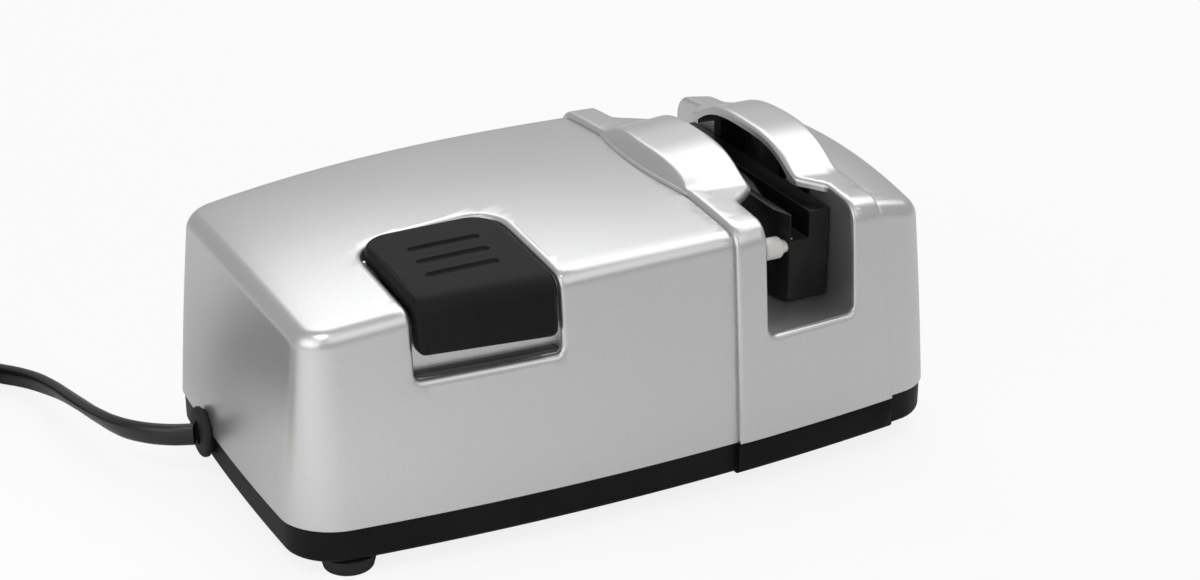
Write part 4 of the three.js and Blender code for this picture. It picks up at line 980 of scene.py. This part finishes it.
# %% Walk round the slot
def slot_rim(tree):
    """Walks round the opening on the skin, from the front floor over the hump to the back and home again."""
    up = np.linspace(-42, 88, 60)

    def leg(x, toward, angles):
        return skin_fan(tree, (x, toward * slot_hub_y, hub_z), angles, toward)

    def floor(toward):
        return [skin_point(tree, (x, toward * far, z), (0, -toward, 0)) for x, z in notch_form[1:-1]]

    def over(side):
        inner = [(x, y) for x, y in side if abs(y) < slot_hub_y - 0.5]
        run = []
        for (x0, y0), (x1, y1) in zip(inner, inner[1:]):
            steps = max(int(math.hypot(x1 - x0, y1 - y0) / rim_pace), 1)
            run += [(x0 + (x1 - x0) * i / steps, y0 + (y1 - y0) * i / steps) for i in range(steps)]
        return [skin_point(tree, (x, y, tall), (0, 0, -1)) for x, y in [*run, inner[-1]]]

    middle_x = (notch_left_x + notch_right_x) / 2
    left = [p for p in slot_plan if p[0] < middle_x and abs(p[1]) < far - 1]
    right = [p for p in slot_plan if p[0] > middle_x and abs(p[1]) < far - 1]
    found = [*floor(-1), *leg(notch_right_x, -1, up), *over(right[::-1]), *leg(notch_right_x, 1, up[::-1])]
    found += [*floor(1)[::-1], *leg(notch_left_x, 1, up), *over(left[::-1]), *leg(notch_left_x, -1, up[::-1])]
    return zip(*found)


# %% [markdown]
# Under each notch is a tub that closes the cover towards the works. The right seam leans, so what ends
# there is cut by a slanted plane.

# %% Tubs and the leaning seam
head_bosses = [(50.0, 35.5), (50.0, -35.5)]
tub_wall, tub_inner_y, tub_past, guide_left_x = 1.8, 22.0, 2.0, 41.9
head_left_radius, head_right_radius, slot_radius, hump_clear = 1.25, 0.6, 1.1, 0.1
slot_middle = np.array(((slot_left_x + slot_right_x) / 2, 0, 62.0))


def right_seam_at(offset):
    """The x of the right seam, moved by offset, at a height: it leans."""
    slope = (right_seam_top_x - right_seam_foot_x) / (shell_top_z - base_foot_z)
    return lambda z: right_seam_foot_x + offset + slope * (z - base_foot_z)


def beside_right_seam(name, offset, toward):
    at = right_seam_at(offset)
    corners = [(at(deep), deep), (toward * far, deep), (toward * far, tall), (at(tall), tall)]
    return prism(name, corners, -far, far, "Y")


def tub(toward, grow, inner_y):
    y0, y1 = sorted((toward * inner_y, toward * far))
    return block("tub", notch_left_x - grow, notch_right_x + grow, y0, y1, notch_floor_z - grow, tall)


def tubs(grow, inner_y):
    return join(tub(-1, grow, inner_y), tub(1, grow, inner_y))


def inner_form(name):
    return join(body_solid(name, head_proud - wall, deep), hump_solid(wall))


# %% [markdown]
# The cover starts as a hollow skin with its tubs. The rims at the seams are rounded before the hump is
# there, because it covers them. The slot comes near the end and cuts skin, hump and tubs in one go.

# %% Head cover
head = body_solid("shell_head", head_proud)
head_tree, rim_tree = tree_of(head), tree_of(head, hump)
head_hollow = cut(inner_form("head_hollow"), *bosses_at(head_bosses))
tub_room = common(tubs(0, tub_past), inner_form("tub_limit"))
tub_walls = common(tubs(tub_wall, tub_inner_y), body_solid("tub_skin", head_proud))
join(combine(head, head_hollow, "DIFFERENCE", keep=True), tub_walls)
left_edge, right_edge = left_seam_x + gap / 2, right_seam_at(-gap / 2)
common(head, beside_right_seam("left_of_right", -gap / 2, -1))
common(head, block("right_of_left", left_edge, far, -far, far, deep, tall))
round_rim(head, seam_edge(head_tree, lambda z: left_edge), head_left_radius, False, keep=far_point(1))
round_rim(head, seam_edge(head_tree, right_edge), head_right_radius, False, keep=far_point(-1))
left_part = block("left_part", -far, left_edge, -far, far, deep, tall)
outside_seams = join(left_part, beside_right_seam("right_part", -gap / 2, 1))
below_hump = common(body_solid("body_skin", hump_clear * gap, deep), outside_seams)
cut(hump, head_hollow, below_hump)
join(head, hump)
cut(head, tub_room, slot_space())
round_rim(head, slot_rim(rim_tree), slot_radius, True, opening=slot_middle)
cut(head, *screw_holes_at(head_bosses))
smooth(head)
finish_piece(head, silver, "housing", "silver", "head_cover")
print(f"head cover {len(head.data.polygons)} faces")

# %% [markdown]
# ### End cap
# The cap closes the right end: the same body once more, cut at the leaning seam, hollow, with two
# bosses for the screws that come up through the tray.

# %% End cap
end_bosses = [(70.0, 25.0), (70.0, -25.0)]
end_cap = body_solid("shell_end")
cut(end_cap, cut(body_solid("end_hollow", -wall, deep), *bosses_at(end_bosses)), *screw_holes_at(end_bosses))
common(end_cap, beside_right_seam("right_of_right", gap / 2, 1))
round_rim(end_cap, seam_edge(main_skin, right_seam_at(gap / 2)), seam_radius, False, keep=far_point(1))
smooth(end_cap)
finish_piece(end_cap, silver, "housing", "silver", "end_cap")
print(f"end cap {len(end_cap.data.polygons)} faces")

# %% [markdown]
# ### Base tray
# The tray is a shallow black moulding with a soft lower edge, a little wider under the head. Its rim
# is rebuilt with many steps, and the floor with its wells and saddles is taken from the solid.


# %% Base tray
def copy_of(name):
    """A copy of a solid's mesh, with its loose triangles merged."""
    piece = nodes[name].copy()
    piece.data = nodes[name].data.copy()
    for key in list(piece.keys()):
        del piece[key]
    piece.parent = None
    bpy.context.scene.collection.objects.link(piece)
    edit_whole(piece, lambda: bpy.ops.mesh.remove_doubles(threshold=1e-6))
    return piece


base_inset, base_wall, base_bevel, base_floor = 0.5, 2.0, 1.5, 2.0
rim_z = shell_foot_z - gap


def base_solid(name, inset, foot_z, top_z, bevel):
    rings = []
    for turn in np.linspace(0, np.pi / 2, 7):
        x, y = outline(inset + bevel * (1 - math.sin(turn))).T
        rings.append(np.column_stack([x, y, 0 * x + foot_z + bevel * (1 - math.cos(turn))]))
    x, y = outline(inset).T
    rings.append(np.column_stack([x, y, 0 * x + top_z]))
    return loft(name, rings)


def flat_loft(name, inset, low, high):
    return loft(name, [np.column_stack([outline(inset), np.full(len(outline(0)), z)]) for z in (low, high)])


base = base_solid("base_tray", base_inset, base_foot_z, rim_z, base_bevel)
wide = base_solid("wide_part", base_inset - head_proud, base_foot_z, rim_z, base_bevel)
common(wide, block("from_left_seam", left_seam_x, far, -far, far, deep, tall))
common(wide, beside_right_seam("to_right_seam", 0, -1))
join(base, wide)
cut(base, flat_loft("middle", base_inset + base_wall, deep, tall))
floor = common(copy_of("base_plate"), flat_loft("middle", base_inset + base_wall + touch, deep, tall))
cut(join(base, floor), grommet_hole())
smooth(base)
finish_piece(base, base_black, "housing", "black_plastic", "base_plate")
print(f"base tray {len(base.data.polygons)} faces")

# %% [markdown]
# ### Turned pieces
# Feet, screws, rests, wheels and the ring of the cord are all round. Each is half a section drawn as a
# line and spun about Z, as on a lathe, and then laid along X where the real one lies so.


# %% Lathe
def turned(name, profile, steps=64, closed=False):
    """A profile of (radius, height) pairs, drawn as a line and spun about Z."""
    count = len(profile)
    lines = [(i, (i + 1) % count) for i in range(count if closed else count - 1)]
    mesh = bpy.data.meshes.new(name)
    mesh.from_pydata([(r * MM, 0, z * MM) for r, z in profile], lines, [])
    piece = bpy.data.objects.new(name, mesh)
    bpy.context.scene.collection.objects.link(piece)
    edit_whole(
        piece,
        lambda: bpy.ops.mesh.spin(steps=steps, angle=2 * math.pi, center=(0, 0, 0), axis=(0, 0, 1)),
        lambda: bpy.ops.mesh.remove_doubles(threshold=1e-7),
        face_outward,
    )
    return piece


def lay_along_x(piece):
    """Turns a piece made along Z to lie along X."""
    piece.rotation_euler = (0, math.pi / 2, 0)
    settle(piece)
    return piece


def move_to(piece, place):
    piece.location = [c * MM for c in place]
    settle(piece)
    return piece


def copied(piece, name):
    twin = piece.copy()
    twin.data = piece.data.copy()
    twin.name = name
    bpy.context.scene.collection.objects.link(twin)
    return twin


def round_corner(r, z, radius, toward_r, toward_z, steps=4):
    """Points that round the corner (r, z) of a profile; toward_r and toward_z say where its two legs go."""
    turns = np.linspace(0, np.pi / 2, steps + 1)
    return [(r + toward_r * radius * (1 - math.sin(t)), z + toward_z * radius * (1 - math.cos(t))) for t in turns]


# %% [markdown]
# The rubber feet taper, have a round edge and a shallow hollow below, and a peg holds each in the tray.

# %% Feet
foot_radius, foot_taper, foot_height, foot_edge, foot_peg = 6.3, 0.8, 3.7, 0.7, 2.2
foot_hollow, foot_hollow_radius, foot_ring_radius = 0.35, 2.6, 3.0
feet = {
    "foot_front_left": (-65.9, -36.9), "foot_rear_left": (-65.9, 36.9),
    "foot_front_right": (58.0, -23.0), "foot_rear_right": (58.0, 23.0),
}
foot_profile = [(0, foot_hollow), (foot_hollow_radius, foot_hollow), (foot_ring_radius, 0.0)]
foot_profile += round_corner(foot_radius - foot_taper, 0, foot_edge, -1, 1)
foot_profile += [(foot_radius, foot_height), (foot_peg, foot_height)]
foot_profile += [(foot_peg, base_foot_z + base_floor), (0, base_foot_z + base_floor)]
foot_model = turned("foot", foot_profile, 72)
smooth(foot_model)
for name, (x, y) in feet.items():
    foot = move_to(copied(foot_model, "rubber_" + name), (x, y, 0))
    finish_piece(foot, rubber_black, "housing", "rubber", name)
bpy.data.objects.remove(foot_model)
print(f"{len(feet)} feet, {foot_radius * 2:.1f} mm across")

# %% [markdown]
# Six screws hold the tray. The thread is a zigzag in the spun line: rings, not a helix, which look the
# same at this size and stay closed. Two arms cut the cross in the head.

# %% Base screws
screw_head_z, screw_head_radius, screw_head_height, shank_radius, screw_length = 2.8, 3.0, 1.8, 1.6, 12.0
screw_edge, screw_tip, thread_start, thread_step, thread_depth, thread_points = 0.7, 0.6, 0.4, 0.46, 0.25, 24
cross_reach, cross_half, cross_depth = 1.7, 0.35, 1.1
screw_top = screw_head_height + screw_length
screw_profile = [(0, 0), *round_corner(screw_head_radius, 0, screw_edge, -1, 1)]
screw_profile += [(screw_head_radius, screw_head_height), (shank_radius, screw_head_height)]
for i in range(thread_points):
    z = screw_head_height + thread_start + i * thread_step
    screw_profile.append((shank_radius if i % 2 else shank_radius - thread_depth, z))
screw_model = turned("screw", [*screw_profile, (screw_tip, screw_top), (0, screw_top)], 32)
for turn in (0, math.pi / 2):
    arm = block("cross", -cross_reach, cross_reach, -cross_half, cross_half, -1, cross_depth)
    arm.rotation_euler = (0, 0, turn)
    settle(arm)
    cut(screw_model, arm)
smooth(screw_model)
for i, (x, y) in enumerate(left_bosses + head_bosses + end_bosses):
    driven = move_to(copied(screw_model, f"driven_screw_{i + 1}"), (x, y, screw_head_z))
    finish_piece(driven, steel, "housing", "steel", f"base_screw_{i + 1}")
bpy.data.objects.remove(screw_model)
print(f"{i + 1} screws, {screw_top:.1f} mm long")

# %% [markdown]
# ### Press button
# The lever continues the body's own curves a little proud of them and tips slightly to the right. It
# wraps over the front edge, and three finger grooves cross its top. So it starts as the body once more,
# cut to its outline in plan and in front view, and a bar with round ends presses each groove in.

# %% Press button
button_proud, button_tilt, button_skin, button_side_depth = 0.9, -0.055, 2.2, 3.2
button_foot = [(button_left_x, 47.3), (button_right_x, 46.2)]
button_round, button_foot_corner, rim_inset = 1.3, 1.7, 0.005


def tilted_body(name, proud, foot_z=shell_foot_z):
    return body_solid(name, proud, foot_z, button_tilt, button_middle_x)


def button_front():
    points = [(button_left_x, tall), *button_foot, (button_right_x, tall)]
    return rounded(points, [0, button_foot_corner, button_foot_corner, 0])


def button_rim(tree):
    found = [skin_point(tree, (x, -far, z), (0, 1, 0)) for x, z in button_front()[1:-1]]
    right, left = button_right_x - rim_inset, button_left_x + rim_inset
    found += skin_fan(tree, (right, front_hub_y, hub_z), np.linspace(-2, 90, 50), -1)
    found += [skin_point(tree, (x, y, tall), (0, 0, -1)) for x, y in button_plan(-rim_inset)[2:]]
    found += skin_fan(tree, (left, front_hub_y, hub_z), np.linspace(90, 3, 50), -1)
    return zip(*found)


def capsule(name, start, end, radius, steps=6):
    """A bar with round ends between two points that differ mostly along X."""
    start, end = np.array(start, float), np.array(end, float)
    along = (end - start) / np.linalg.norm(end - start)
    turn = np.linspace(0, np.pi / 2, steps + 1)[1:]
    rings = [(start - along * radius * math.cos(t), radius * math.sin(t)) for t in turn]
    rings += [(end + along * radius * math.cos(t), radius * math.sin(t)) for t in turn[::-1]]
    circle = 2 * np.pi * np.arange(20) / 20
    return loft(name, [[c + (0, r * math.cos(t), r * math.sin(t)) for t in circle] for c, r in rings])


button = tilted_body("lever", button_proud)
button_tree = tree_of(button)
common(button, prism("plan", button_plan(0), 0, tall), prism("front", button_front(), -far, 0.0, "Y"))
round_rim(button, button_rim(button_tree), button_round, True, keep=np.array((button_middle_x, -30, 45)))
skin_below = tilted_body("skin_below", button_proud - button_skin, deep)
common(skin_below, prism("in", button_plan(-button_skin), deep, tall))
cut(button, tilted_body("side_below", button_proud - button_side_depth, deep), skin_below)
print(f"lever without its lugs {len(button.data.polygons)} faces")

# %% [markdown]
# Under the skin are two lugs for the hinge pin and the peg that presses the switch. They are joined
# before the grooves are cut, so that each boolean meets a simple form.

# %% Lugs and grooves
lug_width, lug_inset, lug_radius, lug_web_top = 3.0, 3.0, 2.6, 70.0
pusher_radius, pusher_foot_z = 1.6, 54.4
groove_length, groove_radius, groove_depth = 16.8, 1.1, 0.7
groove_first_y, groove_pitch, groove_start, groove_shift, groove_count = -19.4, 6.05, 0.4, -0.5, 3
ribs = rod("pusher", pusher_radius, (switch_x, switch_y, pusher_foot_z), (switch_x, switch_y, shell_top_z))
for x in (button_left_x + lug_inset, button_right_x - lug_inset - lug_width):
    lug = rod("lug", lug_radius, (x, pin_y, pin_z), (x + lug_width, pin_y, pin_z))
    web = block("web", x, x + lug_width, pin_y - lug_radius, pin_y + lug_radius, pin_z, lug_web_top)
    join(ribs, join(lug, web))
join(button, common(ribs, tilted_body("under_skin", 0, deep)))
cut(button, pin_hole(-far, 0))
for i in range(groove_count):
    y = groove_first_y - i * groove_pitch
    middle = button_middle_x + groove_start + i * groove_shift
    ends = [(middle + side * (groove_length / 2 - groove_radius), y, tall) for side in (-1, 1)]
    ends = [skin_point(button_tree, end, (0, 0, -1))[0] + (0, 0, groove_radius - groove_depth) for end in ends]
    cut(button, capsule("groove", *ends, groove_radius))
smooth(button)
finish_piece(button, button_black, "button", "button_black", "press_button")
print(f"press button {len(button.data.polygons)} faces")

# %% [markdown]
# The spring that lifts the button is a wire wound in a helix. A screw modifier could make it, but
# the sweep of the cord does too.

# %% Return spring
spring_y, spring_radius, spring_wire, spring_turns, spring_kept = -22.0, 3.0, 0.35, 5, 0.86
spring_foot = recess_floor_z + gap + spring_wire
spring_head = top_height(switch_x, spring_y) + button_proud - button_skin - gap - spring_wire
turn = np.linspace(0, 2 * np.pi * spring_turns, 24 * spring_turns + 1)
helix = np.column_stack([
    switch_x + spring_radius * np.cos(turn), spring_y + spring_radius * np.sin(turn),
    np.linspace(spring_foot, spring_head, len(turn)), 0 * turn,
])
spring = sweep("wound_spring", helix, flat_section(spring_wire, spring_wire, 10, 2.0))
smooth(spring)
finish_piece(spring, steel, "housing", "steel", "return_spring")
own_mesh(spring)
print(f"spring {spring_head - spring_foot:.1f} mm long at rest")

# %% [markdown]
# ### Inside the slot
# A black guide stands in the slot and a white round rest is beside each end of it. Two conical stones
# turn below. These are seen through the opening, so they get soft edges too. The guide is a copy of
# its solid: merged into flat faces it takes a bevel cleanly. The rests are spun.


# %% Guide and rests
guide_edge, flat_angle = 0.45, 0.5
guide = copy_of("knife_guide")
guide.name = "slot_guide"
edit_whole(guide, lambda: bpy.ops.mesh.dissolve_limited(angle_limit=math.radians(flat_angle)))
bpy.ops.object.modifier_apply(modifier=soft_edges(guide, guide_edge, 3).name)
smooth(guide)
finish_piece(guide, guide_black, "housing", "black_plastic", "knife_guide")

rest_radius, rest_z, rest_chamfer, rest_shank, rest_shank_length = 2.5, 48.5, 0.8, 1.5, 3.6
rest_y, rest_dome, rest_dome_radius = 29.0, 0.6, 0.9
rest_low, rest_high = slot_left_x + gap / 2, guide_left_x - gap + rest_dome
rest_end = guide_left_x + rest_shank_length - gap
rest_profile = [(0, rest_low), *round_corner(rest_radius, rest_low, rest_chamfer, -1, 1)]
rest_profile += round_corner(rest_radius, rest_high, rest_dome_radius, -1, -1)[::-1]
rest_profile += [(rest_shank, rest_high), (rest_shank, rest_end), (0, rest_end)]
for name, y in (("blade_rest_front", -rest_y), ("blade_rest_rear", rest_y)):
    rest = move_to(lay_along_x(turned("white_" + name, rest_profile)), (0, y, rest_z))
    smooth(rest)
    finish_piece(rest, nylon, "housing", "white_nylon", name)
print(f"guide {len(guide.data.polygons)} faces, rests {2 * rest_radius:.0f} mm across")

# %% [markdown]
# Each wheel is a flat cone of bonded grit with a dished hub. The cones face each other in the slot, so
# the blade leans on the slope of one at a time. They turn with the spindle, hence their own body.


# %% Grinding wheels
spindle_z, wheel_radius, wheel_nose_radius, wheel_thickness = 33.8, 21.0, 15.0, 6.8
wheel_nose_drop, wheel_nose_in, hub_radius, hub_dish, bore_radius = 2.2, 1.0, 7.0, 1.2, 2.6
wheel_steps = 96


def wheel_section(side):
    """Half of the section, from the bore over the nose and the cone to the back."""
    nose = slot_left_x + wheel_nose_in if side > 0 else slot_right_x - wheel_nose_in
    corners = [
        (bore_radius, hub_dish), (hub_radius, hub_dish), (hub_radius + hub_dish, 0), (wheel_nose_radius, 0),
        (wheel_radius, wheel_nose_drop), (wheel_radius, wheel_thickness), (bore_radius, wheel_thickness),
    ]
    return [(radius, nose - side * depth) for radius, depth in corners]


for name, side in (("wheel_left", 1), ("wheel_right", -1)):
    stone_wheel = lay_along_x(turned("stone_" + name, wheel_section(side), wheel_steps, closed=True))
    move_to(stone_wheel, (0, 0, spindle_z))
    smooth(stone_wheel)
    finish_piece(stone_wheel, stone, "drive", "stone", name)
print(f"wheels {2 * wheel_radius:.0f} mm across")

# %% [markdown]
# The rubber ring that the cord comes through has a round collar outside, a neck in the wall and a
# sleeve inside. It is spun, and the flat hole for the cord is cut through it.

# %% Grommet
grommet_radius, grommet_proud, grommet_sleeve, grommet_tip = 5.8, 1.9, 17.0, 3.6
face_x = -body_length / 2
neck_x = face_x + wall + 2 * gap
collar_round, collar_back_round, bore_squareness = grommet_proud * 0.48, 0.3, 2.2
ring = [(0, face_x - grommet_proud)]
ring += round_corner(grommet_radius, face_x - grommet_proud, collar_round, -1, 1, 6)
ring += round_corner(grommet_radius, face_x - gap, collar_back_round, -1, -1)[::-1]
ring += [(grommet_neck, face_x - gap)]
ring += [(grommet_neck, neck_x + base_wall), (grommet_radius - gap, neck_x + base_wall)]
ring += [(grommet_radius - gap, neck_x + 2 * base_wall), (grommet_tip, face_x + grommet_sleeve)]
ring += [(0, face_x + grommet_sleeve)]
grommet = move_to(lay_along_x(turned("cord_ring", ring)), (0, grommet_y, grommet_z))
bore_route = np.array([(x, grommet_y, grommet_z, 0) for x in (-far, 0)])
bore = sweep("bore", bore_route, flat_section(cord_thickness / 2 + gap, cord_width / 2 + gap, 32, bore_squareness))
cut(grommet, bore, block("floor", neck_x, far, -far, far, deep, base_foot_z + base_floor + gap))
smooth(grommet)
finish_piece(grommet, rubber_black, "housing", "rubber", "cord_grommet")
print(f"grommet {2 * grommet_radius:.1f} mm across")

# %% [markdown]
# ### The rest of the works
# The motor, the switch, the spindle and its bracket are inside and keep their solids. So do the cord's
# clamp and the plug. Each gets its own finish, and small soft edges where two flat faces meet.

# %% Finishes of the works
works = {
    "button_pin": steel, "switch_body": base_black, "switch_plunger": nylon,
    "motor_can": steel, "motor_cap": base_black, "magnet_front": ferrite, "magnet_rear": ferrite,
    "rotor": copper, "motor_shaft": steel, "cooling_fan": base_black, "motor_strap": steel,
    "coupling": nylon, "spindle": steel, "wheel_spacer": nylon, "wheel_clip": steel,
    "spindle_bracket": steel, "bush_left": brass, "bush_right": brass, "inlet_lead": cord_black,
    "cord_clamp": base_black, "plug_body": rubber_black, "plug_pin_a": brass, "plug_pin_b": brass,
}
edge_width = {"plug_body": 0.7, "inlet_lead": 0}
works_edge, works_edge_angle = 0.15, 40
for name, material in works.items():
    dress(nodes[name], material)
    merge = nodes[name].modifiers.new("merge", "WELD")
    merge.merge_threshold = 1e-6
    width = edge_width.get(name, works_edge)
    if width:
        soft_edges(nodes[name], width, angle=works_edge_angle)
    for polygon in nodes[name].data.polygons:
        polygon.use_smooth = True
print(f"{len(works)} solids keep their shape")

# %% [markdown]
# ## Light
# A white floor and a white surround give the silver something to reflect. Three soft lamps do the
# rest: a wide one beyond the object and overhead draws the sheen of the top, one in front fills the long
# wall, and a small low one at the left lights the end. Baked or painted highlights would stay put
# when the view changes; these follow it.

# %% Floor
floor_size = 6.0
bpy.ops.mesh.primitive_plane_add(size=floor_size, location=(0, 0, 0))
table = bpy.context.object
table.name = "table"


def pale_floor(tree, place):
    return {"Base Color": (0.86, 0.86, 0.86, 1), "Roughness": 0.9}


floor_lift = 0.85


def lift_to_white(material, share):
    """Lets the camera see part of the surface as plain white, so that only soft shadows stay on it."""
    tree = material.node_tree
    surface = tree.nodes["Principled BSDF"]
    end = tree.nodes["Material Output"]
    white = shade(tree, "ShaderNodeEmission", {}, {"Color": (1, 1, 1, 1), "Strength": 1.0})
    seen = shade(tree, "ShaderNodeLightPath", output="Is Camera Ray")
    mixed = shade(tree, "ShaderNodeMixShader", {}, {0: seen * share, 2: white})
    tree.links.new(surface.outputs[0], mixed.socket.node.inputs[1])
    tree.links.new(mixed.socket, end.inputs["Surface"])
    return material


dress(table, lift_to_white(finish_of("pale_floor", pale_floor), floor_lift))
print(f"floor {floor_size:.0f} m across")

# %% World and lamps
world = bpy.data.worlds.new("studio")
bpy.context.scene.world = world
world.use_nodes = True
sky = world.node_tree
background = sky.nodes["Background"]
rays = ("Is Camera Ray", "Is Glossy Ray", "Is Transmission Ray")
seen, mirrored, through = (shade(sky, "ShaderNodeLightPath", output=ray) for ray in rays)
world_level, mirrored_level = 0.37, 0.5
strength = world_level + (1 - world_level) * seen + (mirrored_level - world_level) * (mirrored + through)
sky.links.new(strength.socket, background.inputs["Strength"])
background.inputs["Color"].default_value = (1, 1, 1, 1)


def soft_lamp(name, place, size, watts, aim=(0, 0, 0.03)):
    bpy.ops.object.light_add(type="AREA", location=place)
    lamp = bpy.context.object
    lamp.name = name
    lamp.data.shape = "RECTANGLE"
    lamp.data.size, lamp.data.size_y = size
    lamp.data.energy = watts
    toward = Vector(aim) - Vector(place)
    lamp.rotation_euler = toward.to_track_quat("-Z", "Y").to_euler()
    return lamp


soft_lamp("overhead", (0.42, 0.38, 0.92), (1.5, 0.8), 6.2)
soft_lamp("left", (-0.58, -0.24, 0.26), (0.5, 0.4), 0.9, aim=(-0.08, -0.05, 0.02))
soft_lamp("front", (0.2, -1.0, 0.9), (1.4, 0.9), 2.9)
print(f"world at {world_level}, {mirrored_level} where it is mirrored")

# %% [markdown]
# The round corner at the left mirrors the floor beside it, and in the photograph that band is bright.
# A narrow spot on that piece of floor does it without lighting the object itself.

# %% Bright patch of floor that the corner mirrors
patch_lamp, patch_middle = (-0.36, -0.26, 0.6), Vector((-0.19, -0.12, 0))
patch_watts, patch_lamp_size, patch_spread = 10.0, 0.12, 34
bpy.ops.object.light_add(type="SPOT", location=patch_lamp)
patch = bpy.context.object
patch.name = "floor_patch"
patch.data.energy, patch.data.shadow_soft_size = patch_watts, patch_lamp_size
patch.data.spot_size, patch.data.spot_blend = math.radians(patch_spread), 1.0
patch.rotation_euler = (patch_middle - Vector(patch_lamp)).to_track_quat("-Z", "Y").to_euler()
bpy.context.scene.view_settings.view_transform = "Standard"
print(f"patch lamp {patch_watts:.0f} W")
